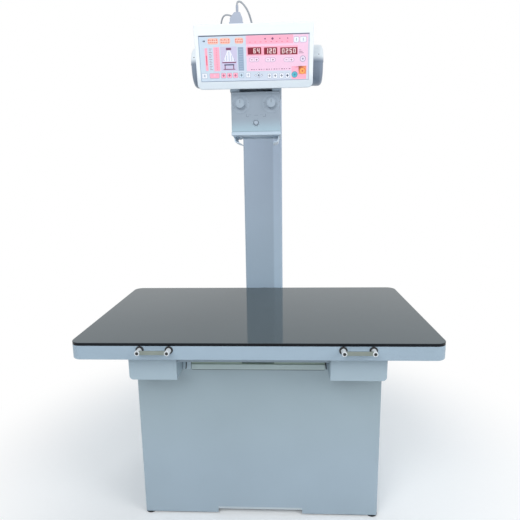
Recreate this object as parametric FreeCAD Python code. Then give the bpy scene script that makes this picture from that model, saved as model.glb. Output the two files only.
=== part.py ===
import FreeCAD, Part
import math
import os

# A veterinary x-ray table: a floating tabletop on a sheet metal cabinet, a fixed
# column behind it and an x-ray head with its control console over the middle.
# Lengths are millimetres, x runs to the right and z up. While modelling, y is the
# depth behind the tabletop's front edge; everything is centred on y when saved.

V = FreeCAD.Vector
X_AXIS = V(1, 0, 0)
Y_AXIS = V(0, 1, 0)
Z_AXIS = V(0, 0, 1)

# Tabletop and its frame
TABLE_HEIGHT = 725.0
TOP_WIDTH = 1200.0
TOP_DEPTH = 710.0
TOP_THICKNESS = 10.0
TOP_CORNER = 35.0
TOP_EDGE_ROUND = 2.0
FRAME_HEIGHT = 47.0
FRAME_FLANGE = 30.0
FRAME_WALL = 4.0
FRAME_EDGE_ROUND = 2.5
BEAM_WIDTH = 60.0
BEAM_HEIGHT = 24.0
BEAM_WALL = 2.5

# Linear guides, the same profile for both directions
RAIL_WIDTH = 20.0
RAIL_HEIGHT = 18.0
RAIL_WAIST = 14.0
RAIL_HEAD = 6.0
RAIL_NECK = 2.0
BLOCK_LENGTH = 70.0
BLOCK_WIDTH = 44.0
BLOCK_HEIGHT = 22.0
BLOCK_BASE = 8.0
RUNNING_GAP = 0.3
RAIL_INSET = 85.0
LONG_RAIL_LENGTH = 1120.0
LONG_BLOCK_X = 310.0
CROSS_TRAVEL = 100.0
CROSS_RAIL_INSET = 84.0
CROSS_BLOCK_SPACING = 240.0
CROSS_BLOCK_FIRST = 285.0

# Handles on the frame's front face
HANDLE_X = 322.5
HANDLE_PITCH = 94.0
HANDLE_DROP = 23.0
HANDLE_REACH = 32.0
POST_RADIUS = 8.0
ROSETTE_RADIUS = 13.0
ROSETTE_THICKNESS = 4.0
HANDLE_BAR_HEIGHT = 13.0
HANDLE_BAR_DEPTH = 8.0
PLUG_RADIUS = 5.0
PLUG_HEIGHT = 1.0

# Carriage between the cabinet and the tabletop
HOUSING_SHEET = 2.0
HOUSING_FRONT = 45.0
HOUSING_SETBACK = 5.0
LEFT_HOUSING_INNER = 265.0
RIGHT_HOUSING_INNER = 242.0
HOUSING_CORNER = 13.0
DECK_CLEARANCE = 2.0
CROSS_MEMBER_HEIGHT = 25.0
CROSS_MEMBER_WALL = 2.5
SIDE_BEAM_WIDTH = 60.0
SIDE_BEAM_HEIGHT = 35.0
SIDE_BEAM_WALL = 3.0
SIDE_BEAM_END_GAP = 8.0
BRAKE_LENGTH = 80.0
BRAKE_WIDTH = 16.0
BRAKE_GROOVE = 4.0

# Cabinet
CABINET_WIDTH = 860.0
CABINET_FRONT = 135.0
CABINET_REAR = 700.0
CABINET_SHEET = 2.0
CABINET_CORNER = 5.0
FLOOR_GAP = 6.0
DECK_THICKNESS = 3.0
FLANGE = 25.0
TOE_WIDTH = 312.0
TOE_HEIGHT = 24.0
FRAME_TUBE = 30.0
FRAME_TUBE_WALL = 2.0
FOOT_HEIGHT = 20.0
FOOT_RADIUS = 20.0
FOOT_PAD = 8.0
FOOT_STEM_RADIUS = 5.0
LOUVRE_COUNT = 8
LOUVRE_PITCH = 16.0
LOUVRE_WIDTH = 180.0
LOUVRE_SLOT = 5.0
INLET_X = 250.0
INLET_Z = 130.0
INLET_WIDTH = 60.0
INLET_HEIGHT = 48.0
INLET_DEPTH = 30.0
INLET_PROUD = 3.0
INLET_RIM = 4.0
SOCKET_WIDTH = 26.0
SOCKET_HEIGHT = 20.0
SOCKET_DEPTH = 17.0
PIN_SPACING = 7.0
ROCKER_WIDTH = 12.0
ROCKER_HEIGHT = 24.0
ROCKER_SWING = 16.0
ROCKER_GAP = 0.5
ROCKER_SINK = 4.0
POWER_WIDTH = 320.0
POWER_FRONT = 300.0
POWER_DEPTH = 260.0
POWER_HEIGHT = 120.0
FIN_PITCH = 20.0
FIN_THICKNESS = 4.0
FIN_HEIGHT = 25.0
FIN_INSET = 10.0

# Detector tray and the unit that carries it
TRAY_FRONT_WIDTH = 464.0
TRAY_FRONT_Y = 128.0
TRAY_FRONT_DEPTH = 14.0
TRAY_STEP = 3.0
TRAY_SHEET = 1.5
TRAY_WIDTH = 444.0
TRAY_DEPTH = 450.0
TRAY_WALL = 20.0
TRAY_HOLE_RADIUS = 60.0
TRAY_CATCH_INSET = 18.0
TRAY_CATCH_WIDTH = 18.0
TRAY_CATCH_HEIGHT = 9.0
TRAY_CATCH_DEPTH = 7.0
PULL_WIDTH = 114.0
PULL_DEPTH = 12.0
RECEPTOR_SHEET = 2.0
RECEPTOR_WIDTH = 476.0
RECEPTOR_DEPTH = 500.0
RECEPTOR_TOP_GAP = 1.5
GRID_THICKNESS = 4.0
DETECTOR_SIZE = 430.0
DETECTOR_THICKNESS = 15.0

# Rubber strips beside the tray: side, reach outwards, bow of that and thickness
LEFT_STRIP = (-1, 16.0, 5.0, 4.0)
RIGHT_STRIP = (1, 3.0, 1.0, 2.0)
STRIP_SETBACK = 6.0

# Column behind the table
COLUMN_FRONT = 830.0
COLUMN_WIDTH = 180.0
COLUMN_DEPTH = 150.0
COLUMN_WALL = 4.0
COLUMN_CORNER = 8.0
COLUMN_TOP = 1720.0
BASE_PLATE_WIDTH = 260.0
BASE_PLATE_DEPTH = 240.0
BASE_PLATE_THICKNESS = 12.0
ANCHOR_SPACING_X = 220.0
ANCHOR_SPACING_Y = 200.0
ANCHOR_RADIUS = 6.5
TIE_WIDTH = 120.0
TIE_HEIGHT = 40.0
TIE_SHEET = 3.0
TIE_LEVELS = (180.0, 480.0)

# X-ray head: the beam falls straight down at x = 0, BEAM_Y behind the front edge
BEAM_Y = 355.0
BARREL_RISE = 894.0
BARREL_RADIUS = 67.5
BARREL_LEFT = 180.0
BARREL_RIGHT = 188.0
BARREL_GROOVE_INSET = 6.0
CAP_LENGTH = 43.0
CAP_ROUND = 15.0
CAP_STEP = 1.2
SWIVEL_RADIUS = 25.0
SWIVEL_CLEARANCE = 0.05
SWIVEL_FLANGE_RADIUS = 58.0
SWIVEL_FLANGE = 12.0
CRADLE_BEHIND = 14.5
CRADLE_WRAP = 37.0
CRADLE_HALF_WIDTH = 62.0
CRADLE_HALF_HEIGHT = 52.0
BEARING_GAP = 7.0
BEARING_LENGTH = 84.0
ARM_WIDTH = 90.0
ARM_HEIGHT = 80.0
ARM_WALL = 4.0
ARM_PLATE = 10.0
ARM_PLATE_INSET = 20.0
ARM_PLATE_HALF = 75.0
BOLT_SPREAD_X = 57.0
BOLT_SPREAD_Z = 60.0
BOLT_SIZE = 9.0
BOLT_HEAD = 7.0
THREAD_RADIUS = 15.0
NUT_RADIUS = 30.0
NUT_THICKNESS = 12.0
LOCK_STEM_RADIUS = 5.0
LOCK_KNOB_RADIUS = 20.0

# Control console, leaning with its top edge towards the user
CONSOLE_WIDTH = 380.0
CONSOLE_HEIGHT = 193.5
CONSOLE_DEPTH = 60.0
CONSOLE_TILT = 15.0
CONSOLE_BOTTOM_Y = 230.0
CONSOLE_RISE = 800.0
CONSOLE_WALL = 3.0
CONSOLE_LOWER_CORNER = 17.0
CONSOLE_UPPER_CORNER = 5.0
CONSOLE_EDGE_ROUND = 3.0
BEZEL_DEPTH = 20.0
OVERLAY_WIDTH = 354.0
OVERLAY_HEIGHT = 138.0
OVERLAY_LOW_MARGIN = 24.0
OVERLAY_RECESS = 2.5
OVERLAY_THICKNESS = 1.2
WINDOW_SPANS = ((-20.0, 20.0), (32.0, 71.0), (84.0, 137.0))
WINDOW_LOW = 118.0
WINDOW_HIGH = 140.0
MODULE_DEPTH = 10.0
BRACKET_HALF = 120.0
BRACKET_LOW = 20.0
BRACKET_HIGH = 96.0
BRACKET_DEPTH = 52.0

# Connector on the console's top and the two leads to the barrel
HOOD_X = -57.0
HOOD_BASE = 42.0
HOOD_SHOULDER = 17.0
HOOD_TOP = 19.0
HOOD_HEIGHT = 34.0
HOOD_THICKNESS = 16.0
HOOD_Y = 226.0
RELIEF_X = -53.5
RELIEF_RADIUS = 4.2
RELIEF_LENGTH = 22.0
RELIEF_RIBS = 5
LINK_CABLE_RADIUS = 3.0
SIGNAL_CABLE_RADIUS = 2.5
GLAND_LENGTH = 15.0
GLAND_HEXAGON = 9.0
GLAND_NUT_RADIUS = 6.5
GLAND_LEAN = 22.0
LINK_GLAND_X = -9.0
SIGNAL_GLAND_X = -110.0

# Collimator under the head
COLLIMATOR_WIDTH = 168.0
COLLIMATOR_DEPTH = 186.0
COLLIMATOR_HEIGHT = 143.0
COLLIMATOR_RISE = 654.0
COLLIMATOR_WALL = 3.0
COLLIMATOR_ROUND = 4.0
LIP_HEIGHT = 11.0
LIP_PROUD = 1.5
FIELD_OPENING = 110.0
SWIVEL_RING_RADIUS = 53.0
SWIVEL_RING_HEIGHT = 9.0
PORT_RADIUS = 22.0
PORT_BLOCK_HALF_WIDTH = 58.0
PORT_BLOCK_HALF_DEPTH = 55.0
PORT_BLOCK_INTO_BARREL = 20.0
HUB_RADIUS = 40.0
HUB_CLEARANCE = 0.05
MOUNT_PLATE = 10.0
MOUNT_HALF_WIDTH = 87.0
MOUNT_PLATE_FRONT = 60.0
KNOB_RADIUS = 15.0
KNOB_DEPTH = 15.0
DIAL_RADIUS = 30.0
DIAL_THICKNESS = 1.0
SHAFT_RADIUS = 4.0
SHAFT_CLEARANCE = 0.06
GEAR_MODULE = 1.5
GEAR_TEETH = 35
GEAR_FACE = 2.8
GEAR_FACE_GAP = 0.4
TOOTH_SLACK = 0.12
KNOB_DROP = 40.0
BUTTON_DROP = 102.0
BUTTON_RADIUS = 7.0
BUTTON_TRAVEL = 3.0
WIDE_FIELD_HALF = 41.0
WIDE_LEAF = 39.5
LONG_FIELD_HALF = 24.0
LONG_LEAF = 30.0
LEAF_THICKNESS = 3.0
GUIDE_RADIUS = 2.5
GUIDE_CLEARANCE = 0.08
GUIDE_SPREAD = 66.0
WIDE_LEAF_LEVEL = 46.0
LUG = 5.0
MIRROR_LEVEL = 84.0
MIRROR_HALF = 32.0
MIRROR_TILT = 38.0
FILTER_RAIL_LENGTH = 160.0
GEAR_STUB_RADIUS = 3.0

# Derived heights, from the tabletop down
top_underside = TABLE_HEIGHT - TOP_THICKNESS
frame_bottom = top_underside - FRAME_HEIGHT
beam_bottom = top_underside - BEAM_HEIGHT
long_rail_face = beam_bottom - RAIL_HEIGHT
carriage_top = long_rail_face - BLOCK_BASE
cross_member_top = carriage_top - HOUSING_SHEET
cross_member_bottom = cross_member_top - CROSS_MEMBER_HEIGHT
side_beam_bottom = cross_member_bottom - SIDE_BEAM_HEIGHT
cross_rail_face = side_beam_bottom - BLOCK_BASE
deck_top = cross_rail_face - RAIL_HEIGHT
cabinet_top = deck_top - DECK_THICKNESS
housing_rear = TOP_DEPTH - HOUSING_FRONT
column_middle = COLUMN_FRONT + COLUMN_DEPTH / 2
base_plate_rear = column_middle + BASE_PLATE_DEPTH / 2
depth_centre = (base_plate_rear - HANDLE_REACH) / 2
housing_outer = CABINET_WIDTH / 2 - HOUSING_SETBACK
cross_rail_x = housing_outer - CROSS_RAIL_INSET
barrel_z = TABLE_HEIGHT + BARREL_RISE
console_bottom_z = TABLE_HEIGHT + CONSOLE_RISE
collimator_bottom = TABLE_HEIGHT + COLLIMATOR_RISE

os.makedirs("parts", exist_ok=True)


def block(x0, x1, y0, y1, z0, z1):
    return Part.makeBox(x1 - x0, y1 - y0, z1 - z0, V(x0, y0, z0))


def rod(radius, start, end):
    line = end - start
    return Part.makeCylinder(radius, line.Length, start, line)


def ring(outer, inner, start, end):
    return rod(outer, start, end).cut(rod(inner, start, end))


def rounded_block(x0, x1, y0, y1, z0, z1, radius):
    """A box whose four upright edges are rounded."""
    shape = block(x0, x1, y0, y1, z0, z1)
    upright = [e for e in shape.Edges if abs(e.tangentAt(e.FirstParameter).z) > 0.9]
    return shape.makeFillet(radius, upright)


def box_tube(x0, x1, y0, y1, z0, z1, wall, axis):
    """A rectangular tube, open at both ends along the named axis."""
    dx, dy, dz = (0 if axis == name else wall for name in "xyz")
    inside = block(x0 + dx, x1 - dx, y0 + dy, y1 - dy, z0 + dz, z1 - dz)
    return block(x0, x1, y0, y1, z0, z1).cut(inside)


def prism(points, extrusion):
    """A flat outline given as vectors, pushed along a vector."""
    return Part.Face(Part.makePolygon(points + points[:1])).extrude(extrusion)


def save(name, pieces):
    pieces = pieces if isinstance(pieces, list) else [pieces]
    solids = [solid for piece in pieces for solid in piece.Solids]
    shape = solids[0] if len(solids) == 1 else Part.makeCompound(solids)
    shape = shape.copy()
    shape.translate(V(0, -depth_centre, 0))
    shape.exportStep("parts/" + name + ".step")


# Guides: a rail with a waist, and the bearing block that grips round it


def rail_outline(across, up, gap):
    """Rail section from its free face at 0 up to its seat, widened by gap."""
    half = RAIL_WIDTH / 2 + gap
    waist = RAIL_WAIST / 2 + gap
    slope = (RAIL_WIDTH - RAIL_WAIST) / 4
    lower = RAIL_HEAD + gap * 0.4
    upper = RAIL_HEAD + 2 * slope + RAIL_NECK - gap * 0.4
    side = [(half, -gap), (half, lower), (waist, lower + slope), (waist, upper - slope)]
    side = side + [(half, upper), (half, RAIL_HEIGHT)]
    whole = side + [(-a, b) for a, b in reversed(side)]
    return [across * a + up * b for a, b in whole]


def rail(start, along, across, up, length):
    points = [start + p for p in rail_outline(across, up, 0.0)]
    return prism(points, along * length)


def bearing_block(middle, along, across, up):
    """middle lies on the rail's free face; up points from there to the rail's seat."""
    corner = middle - along * (BLOCK_LENGTH / 2) - across * (BLOCK_WIDTH / 2) - up * BLOCK_BASE
    outline = [corner, corner + across * BLOCK_WIDTH]
    outline = outline + [outline[1] + up * BLOCK_HEIGHT, corner + up * BLOCK_HEIGHT]
    body = prism(outline, along * BLOCK_LENGTH)
    start = middle - along * (BLOCK_LENGTH / 2)
    groove = prism([start + p for p in rail_outline(across, up, RUNNING_GAP)], along * BLOCK_LENGTH)
    return body.cut(groove)


# Tabletop


def tabletop_panel():
    half = TOP_WIDTH / 2
    panel = rounded_block(-half, half, 0, TOP_DEPTH, top_underside, TABLE_HEIGHT, TOP_CORNER)
    rims = [e for e in panel.Edges if e.BoundBox.ZMin > TABLE_HEIGHT - 0.1]
    return panel.makeFillet(TOP_EDGE_ROUND, rims)


def table_frame():
    half = TOP_WIDTH / 2

    def plate(inset, z0, z1):
        radius = max(TOP_CORNER - inset, 3.0)
        return rounded_block(-half + inset, half - inset, inset, TOP_DEPTH - inset, z0, z1, radius)

    body = plate(0, frame_bottom, top_underside)
    rims = [e for e in body.Edges if e.BoundBox.ZMax < frame_bottom + 0.1]
    body = body.makeFillet(FRAME_EDGE_ROUND, rims)
    body = body.cut(plate(FRAME_WALL, frame_bottom + FRAME_WALL, top_underside - FRAME_WALL))
    return body.cut(plate(FRAME_FLANGE, frame_bottom, top_underside))


def table_beams():
    beams = []
    for middle in (RAIL_INSET, TOP_DEPTH - RAIL_INSET):
        y0 = middle - BEAM_WIDTH / 2
        y1 = middle + BEAM_WIDTH / 2
        reach = TOP_WIDTH / 2 - FRAME_WALL
        span = TOP_WIDTH / 2 - FRAME_FLANGE
        tongue_top = top_underside - FRAME_WALL
        beam = block(-reach, reach, y0, y1, beam_bottom, tongue_top)
        beam = beam.fuse(block(-span, span, y0, y1, beam_bottom, top_underside))
        hollow = block(-reach, reach, y0 + BEAM_WALL, y1 - BEAM_WALL,
                       beam_bottom + BEAM_WALL, tongue_top - BEAM_WALL)
        beams.append(beam.cut(hollow).removeSplitter())
    return beams


def longitudinal_rails():
    start_x = -LONG_RAIL_LENGTH / 2
    lines = (RAIL_INSET, TOP_DEPTH - RAIL_INSET)
    return [rail(V(start_x, y, long_rail_face), X_AXIS, Y_AXIS, Z_AXIS, LONG_RAIL_LENGTH) for y in lines]


def handle_positions():
    return [side * HANDLE_X + end * HANDLE_PITCH / 2 for side in (-1, 1) for end in (-1, 1)]


def handle_height():
    return TABLE_HEIGHT - HANDLE_DROP


def handle_rosettes():
    discs = []
    for x in handle_positions():
        disc = rod(ROSETTE_RADIUS, V(x, -ROSETTE_THICKNESS, handle_height()), V(x, 0, handle_height()))
        rim = [e for e in disc.Edges if e.BoundBox.YMax < -ROSETTE_THICKNESS + 0.1]
        discs.append(disc.makeChamfer(1.5, rim))
    return discs


def handle_posts():
    front = PLUG_HEIGHT - HANDLE_REACH
    z = handle_height()
    return [rod(POST_RADIUS, V(x, front, z), V(x, -ROSETTE_THICKNESS, z)) for x in handle_positions()]


def handle_plugs():
    z = handle_height()
    front = -HANDLE_REACH
    return [rod(PLUG_RADIUS, V(x, front, z), V(x, front + PLUG_HEIGHT, z)) for x in handle_positions()]


def handle_bars():
    """A flat bar with rounded long edges, its ends hollowed to sit on the round posts."""
    bars = []
    z = handle_height()
    middle = -HANDLE_REACH + PLUG_HEIGHT + 2 + HANDLE_BAR_DEPTH / 2
    for side in (-1, 1):
        x0 = side * HANDLE_X - HANDLE_PITCH / 2
        x1 = side * HANDLE_X + HANDLE_PITCH / 2
        bar = block(x0, x1, middle - HANDLE_BAR_DEPTH / 2, middle + HANDLE_BAR_DEPTH / 2,
                    z - HANDLE_BAR_HEIGHT / 2, z + HANDLE_BAR_HEIGHT / 2)
        long_edges = [e for e in bar.Edges if e.Length > HANDLE_PITCH - 1]
        bar = bar.makeFillet(HANDLE_BAR_DEPTH * 0.3, long_edges)
        for x in (x0, x1):
            bar = bar.cut(rod(POST_RADIUS, V(x, -HANDLE_REACH, z), V(x, 0, z)))
        bars.append(bar)
    return bars


# Carriage


def housing(outer, inner):
    """Bent sheet cover of one side; outer and inner are its x faces, outer away from the middle."""
    x0, x1 = sorted((outer, inner))
    sheet = HOUSING_SHEET
    foot = deck_top + DECK_CLEARANCE
    body = block(x0, x1, HOUSING_FRONT, housing_rear, foot, carriage_top)
    room = block(x0 + sheet, x1 - sheet, HOUSING_FRONT + sheet, housing_rear - sheet,
                 foot + sheet, carriage_top - sheet)

    def outer_low_edge(shape, x):
        return [e for e in shape.Edges
                if abs(e.BoundBox.XMin - x) < 0.1 and abs(e.BoundBox.XMax - x) < 0.1
                and e.BoundBox.ZMax < foot + sheet + 0.1 and e.Length > BLOCK_LENGTH]

    step = sheet if outer < inner else -sheet
    body = body.makeFillet(HOUSING_CORNER, outer_low_edge(body, outer))
    room = room.makeFillet(HOUSING_CORNER - sheet, outer_low_edge(room, outer + step))
    mouth_x = outer + (HOUSING_CORNER if outer < inner else -HOUSING_CORNER)
    m0, m1 = sorted((mouth_x, inner - step))
    mouth = block(m0, m1, HOUSING_FRONT + sheet, housing_rear - sheet, foot - 1, foot + sheet + 1)
    rail_x = math.copysign(cross_rail_x, outer)
    half_slot = RAIL_WIDTH / 2 + 3
    slot = block(rail_x - half_slot, rail_x + half_slot, housing_rear - sheet - 1, housing_rear + 1,
                 foot - 1, cross_rail_face + 3)
    body = body.cut(room).cut(mouth).cut(slot)
    for middle in (RAIL_INSET, TOP_DEPTH - RAIL_INSET):
        half = BEAM_WIDTH / 2 + 0.5
        w0, w1 = sorted((inner - 2 * step, inner + 2 * step))
        body = body.cut(block(w0, w1, middle - half, middle + half,
                              cross_member_bottom - 0.5, cross_member_top))
    return body


def left_rail_housing():
    return housing(-housing_outer, -LEFT_HOUSING_INNER)


def right_rail_housing():
    return housing(housing_outer, RIGHT_HOUSING_INNER)


def carriage_frame():
    """Two tubes along y welded under two tubes along x; each tube is a piece of its own."""
    reach = cross_rail_x + SIDE_BEAM_WIDTH / 2
    y0 = HOUSING_FRONT + HOUSING_SHEET + SIDE_BEAM_END_GAP
    y1 = TOP_DEPTH - y0
    tubes = []
    for middle in (RAIL_INSET, TOP_DEPTH - RAIL_INSET):
        member = box_tube(-reach, reach, middle - BEAM_WIDTH / 2, middle + BEAM_WIDTH / 2,
                          cross_member_bottom, cross_member_top, CROSS_MEMBER_WALL, "x")
        tubes.append(member)
    for side in (-1, 1):
        x0 = side * cross_rail_x - SIDE_BEAM_WIDTH / 2
        beam = box_tube(x0, x0 + SIDE_BEAM_WIDTH, y0, y1, side_beam_bottom, cross_member_bottom,
                        SIDE_BEAM_WALL, "y")
        tubes.append(beam)
    return tubes


def longitudinal_bearings():
    """Bearing blocks on top of the carriage, gripping the tabletop's rails from below."""
    spots = [(side * LONG_BLOCK_X, y) for side in (-1, 1) for y in (RAIL_INSET, TOP_DEPTH - RAIL_INSET)]
    return [bearing_block(V(x, y, long_rail_face), X_AXIS, Y_AXIS, Z_AXIS) for x, y in spots]


def cross_block_depths():
    return (CROSS_BLOCK_FIRST, CROSS_BLOCK_FIRST + CROSS_BLOCK_SPACING)


def transverse_bearings():
    """Bearing blocks under the carriage, gripping the deck's rails from above."""
    spots = [(side * cross_rail_x, y) for side in (-1, 1) for y in cross_block_depths()]
    return [bearing_block(V(x, y, cross_rail_face), Y_AXIS, X_AXIS, -Z_AXIS) for x, y in spots]


def magnetic_brakes():
    """Three electromagnets with a pole groove; each face stands just clear of its steel strip."""
    brakes = []
    offset = RAIL_WIDTH / 2 + 2
    for y in (RAIL_INSET + offset, TOP_DEPTH - RAIL_INSET - offset - BRAKE_WIDTH):
        z1 = beam_bottom - RUNNING_GAP
        magnet = block(-BRAKE_LENGTH / 2, BRAKE_LENGTH / 2, y, y + BRAKE_WIDTH, cross_member_top, z1)
        for x in (-BRAKE_LENGTH / 4, BRAKE_LENGTH / 4 - BRAKE_GROOVE):
            magnet = magnet.cut(block(x, x + BRAKE_GROOVE, y, y + BRAKE_WIDTH, z1 - BRAKE_GROOVE, z1))
        brakes.append(magnet)
    x0 = offset - cross_rail_x
    y_first, y_last = cross_block_depths()
    y_mid = (y_first + y_last) / 2
    magnet = block(x0, x0 + BRAKE_WIDTH, y_mid - BRAKE_LENGTH / 2, y_mid + BRAKE_LENGTH / 2,
                   deck_top + RUNNING_GAP, side_beam_bottom)
    for y in (y_mid - BRAKE_LENGTH / 4, y_mid + BRAKE_LENGTH / 4):
        magnet = magnet.cut(block(x0, x0 + BRAKE_WIDTH, y, y + BRAKE_GROOVE,
                                  deck_top, deck_top + RUNNING_GAP + BRAKE_GROOVE))
    brakes.append(magnet)
    return brakes


# Cabinet


def base_cabinet():
    """Sheet cover: front and two sides, with flanges turned in at the top and the rear."""
    half = CABINET_WIDTH / 2
    sheet = CABINET_SHEET
    rear = CABINET_REAR - sheet
    body = block(-half, half, CABINET_FRONT, rear, FLOOR_GAP, cabinet_top)
    room = block(-half + sheet, half - sheet, CABINET_FRONT + sheet, rear - sheet,
                 FLOOR_GAP - 1, cabinet_top - sheet)
    front_edges = [e for e in body.Edges
                   if e.BoundBox.YMax < CABINET_FRONT + 0.1 and e.BoundBox.ZLength > 100]
    body = body.makeFillet(CABINET_CORNER, front_edges)
    inner_edges = [e for e in room.Edges
                   if e.BoundBox.YMax < CABINET_FRONT + sheet + 0.1 and e.BoundBox.ZLength > 100]
    room = room.makeFillet(CABINET_CORNER - sheet, inner_edges)
    body = body.cut(room)
    body = body.cut(block(FLANGE - half, half - FLANGE, CABINET_FRONT + FLANGE, rear + 1,
                          FLOOR_GAP - 1, cabinet_top + 1))
    toe = rounded_block(-TOE_WIDTH / 2, TOE_WIDTH / 2, CABINET_FRONT - 1, CABINET_FRONT + sheet + 4,
                        FLOOR_GAP - 10, FLOOR_GAP + TOE_HEIGHT, 1.0)
    return body.cut(toe)


def cabinet_back_panel():
    """Rear sheet with a stack of vent slots and the hole for the mains inlet."""
    half = CABINET_WIDTH / 2
    y0 = CABINET_REAR - CABINET_SHEET
    panel = block(-half, half, y0, CABINET_REAR, FLOOR_GAP, cabinet_top)
    middle = (FLOOR_GAP + cabinet_top) / 2
    for bank in (-1, 1):
        x = bank * CABINET_WIDTH / 4
        for row in range(LOUVRE_COUNT):
            z = middle + (row - (LOUVRE_COUNT - 1) / 2) * LOUVRE_PITCH
            slot = block(x - LOUVRE_WIDTH / 2, x + LOUVRE_WIDTH / 2, y0, CABINET_REAR,
                         z - LOUVRE_SLOT / 2, z + LOUVRE_SLOT / 2)
            panel = panel.cut(slot)
    return panel.cut(inlet_body())


def base_frame():
    """Welded square tube frame with a floor sheet, standing inside the cover."""
    sheet = CABINET_SHEET
    half = CABINET_WIDTH / 2 - sheet
    y0 = CABINET_FRONT + sheet
    y1 = CABINET_REAR - 2 * sheet
    tube = FRAME_TUBE
    top = cabinet_top - sheet
    floor_z = FOOT_HEIGHT + tube
    solid = block(tube - half, half - tube, y0 + tube / 2, y1 - tube / 2, floor_z - sheet, floor_z)
    for z0 in (FOOT_HEIGHT, top - tube):
        loop = rounded_block(-half, half, y0, y1, z0, z0 + tube, CABINET_CORNER - sheet)
        loop = loop.cut(block(tube - half, half - tube, y0 + tube, y1 - tube, z0, z0 + tube))
        solid = solid.fuse(loop)
    wall = FRAME_TUBE_WALL
    for x in (-half, half - tube):
        for y in (y0, y1 - tube):
            post = rounded_block(x, x + tube, y, y + tube, floor_z, top - tube, CABINET_CORNER - sheet)
            core = block(x + wall, x + tube - wall, y + wall, y + tube - wall, floor_z, top - tube)
            solid = solid.fuse(post.cut(core))
    return solid.removeSplitter()


def foot_positions():
    half = CABINET_WIDTH / 2 - CABINET_SHEET - FRAME_TUBE / 2
    y0 = CABINET_FRONT + CABINET_SHEET + FRAME_TUBE / 2
    y1 = CABINET_REAR - 2 * CABINET_SHEET - FRAME_TUBE / 2
    return [(x, y) for x in (-half, half) for y in (y0, y1)]


def levelling_feet():
    """Turned feet: a flat rubber pad with a cone up to the adjusting stem."""
    feet = []
    profile = [(0, 0), (FOOT_RADIUS - 1, 0), (FOOT_RADIUS, 1), (FOOT_RADIUS, FOOT_PAD / 2)]
    profile = profile + [(FOOT_STEM_RADIUS + 3, FOOT_PAD), (FOOT_STEM_RADIUS, FOOT_PAD)]
    profile = profile + [(FOOT_STEM_RADIUS, FOOT_HEIGHT), (0, FOOT_HEIGHT)]
    for x, y in foot_positions():
        outline = Part.makePolygon([V(r, 0, z) for r, z in profile + profile[:1]])
        foot = Part.Face(outline).revolve(V(0, 0, 0), Z_AXIS, 360)
        foot.translate(V(x, y, 0))
        feet.append(foot)
    return feet


def deck_plate():
    half = CABINET_WIDTH / 2
    return rounded_block(-half, half, CABINET_FRONT, CABINET_REAR, cabinet_top, deck_top, CABINET_CORNER)


def transverse_rails():
    start = cross_block_depths()[0] - BLOCK_LENGTH / 2 - CROSS_TRAVEL
    end = cross_block_depths()[1] + BLOCK_LENGTH / 2 + CROSS_TRAVEL
    return [rail(V(side * cross_rail_x, start, cross_rail_face), Y_AXIS, X_AXIS, -Z_AXIS, end - start)
            for side in (-1, 1)]


def power_unit():
    """Power supply case with a ribbed heat sink on top, standing on the frame's floor sheet."""
    z0 = FOOT_HEIGHT + FRAME_TUBE
    z1 = z0 + POWER_HEIGHT
    half = POWER_WIDTH / 2
    body = block(-half, half, POWER_FRONT, POWER_FRONT + POWER_DEPTH, z0, z1)
    for k in range(1, int(POWER_DEPTH / FIN_PITCH)):
        y = POWER_FRONT + k * FIN_PITCH
        fin = block(FIN_INSET - half, half - FIN_INSET, y, y + FIN_THICKNESS, z1, z1 + FIN_HEIGHT)
        body = body.fuse(fin)
    return body


# Mains inlet with its rocker switch, on the rear panel


def inlet_body():
    y0 = CABINET_REAR - INLET_DEPTH
    return block(INLET_X - INLET_WIDTH / 2, INLET_X + INLET_WIDTH / 2, y0, CABINET_REAR,
                 INLET_Z - INLET_HEIGHT / 2, INLET_Z + INLET_HEIGHT / 2)


def rocker_middle():
    return V(INLET_X + INLET_WIDTH / 4 + 3, CABINET_REAR - 1, INLET_Z)


def mains_inlet():
    rim = INLET_RIM
    flange = block(INLET_X - INLET_WIDTH / 2 - rim, INLET_X + INLET_WIDTH / 2 + rim,
                   CABINET_REAR, CABINET_REAR + INLET_PROUD,
                   INLET_Z - INLET_HEIGHT / 2 - rim, INLET_Z + INLET_HEIGHT / 2 + rim)
    body = inlet_body().fuse(flange)
    face = CABINET_REAR + INLET_PROUD
    sx = INLET_X - INLET_WIDTH / 4 + 1
    socket = block(sx - SOCKET_WIDTH / 2, sx + SOCKET_WIDTH / 2, face - SOCKET_DEPTH, face,
                   INLET_Z - SOCKET_HEIGHT / 2, INLET_Z + SOCKET_HEIGHT / 2)
    body = body.cut(socket)
    for dx in (-PIN_SPACING, 0, PIN_SPACING):
        pin = block(sx + dx - 1, sx + dx + 1, face - SOCKET_DEPTH, face - 3, INLET_Z - 2, INLET_Z + 2)
        body = body.fuse(pin)
    c = rocker_middle()
    room = block(c.x - ROCKER_WIDTH / 2 - ROCKER_GAP, c.x + ROCKER_WIDTH / 2 + ROCKER_GAP,
                 c.y - 10, face, c.z - ROCKER_HEIGHT / 2 - ROCKER_GAP, c.z + ROCKER_HEIGHT / 2 + ROCKER_GAP)
    body = body.cut(room)
    pivot = rod(2.0, c - X_AXIS * (ROCKER_WIDTH / 2 + 3), c + X_AXIS * (ROCKER_WIDTH / 2 + 3))
    pivot.translate(V(0, -ROCKER_SINK, 0))
    return body.cut(pivot).removeSplitter()


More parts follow.
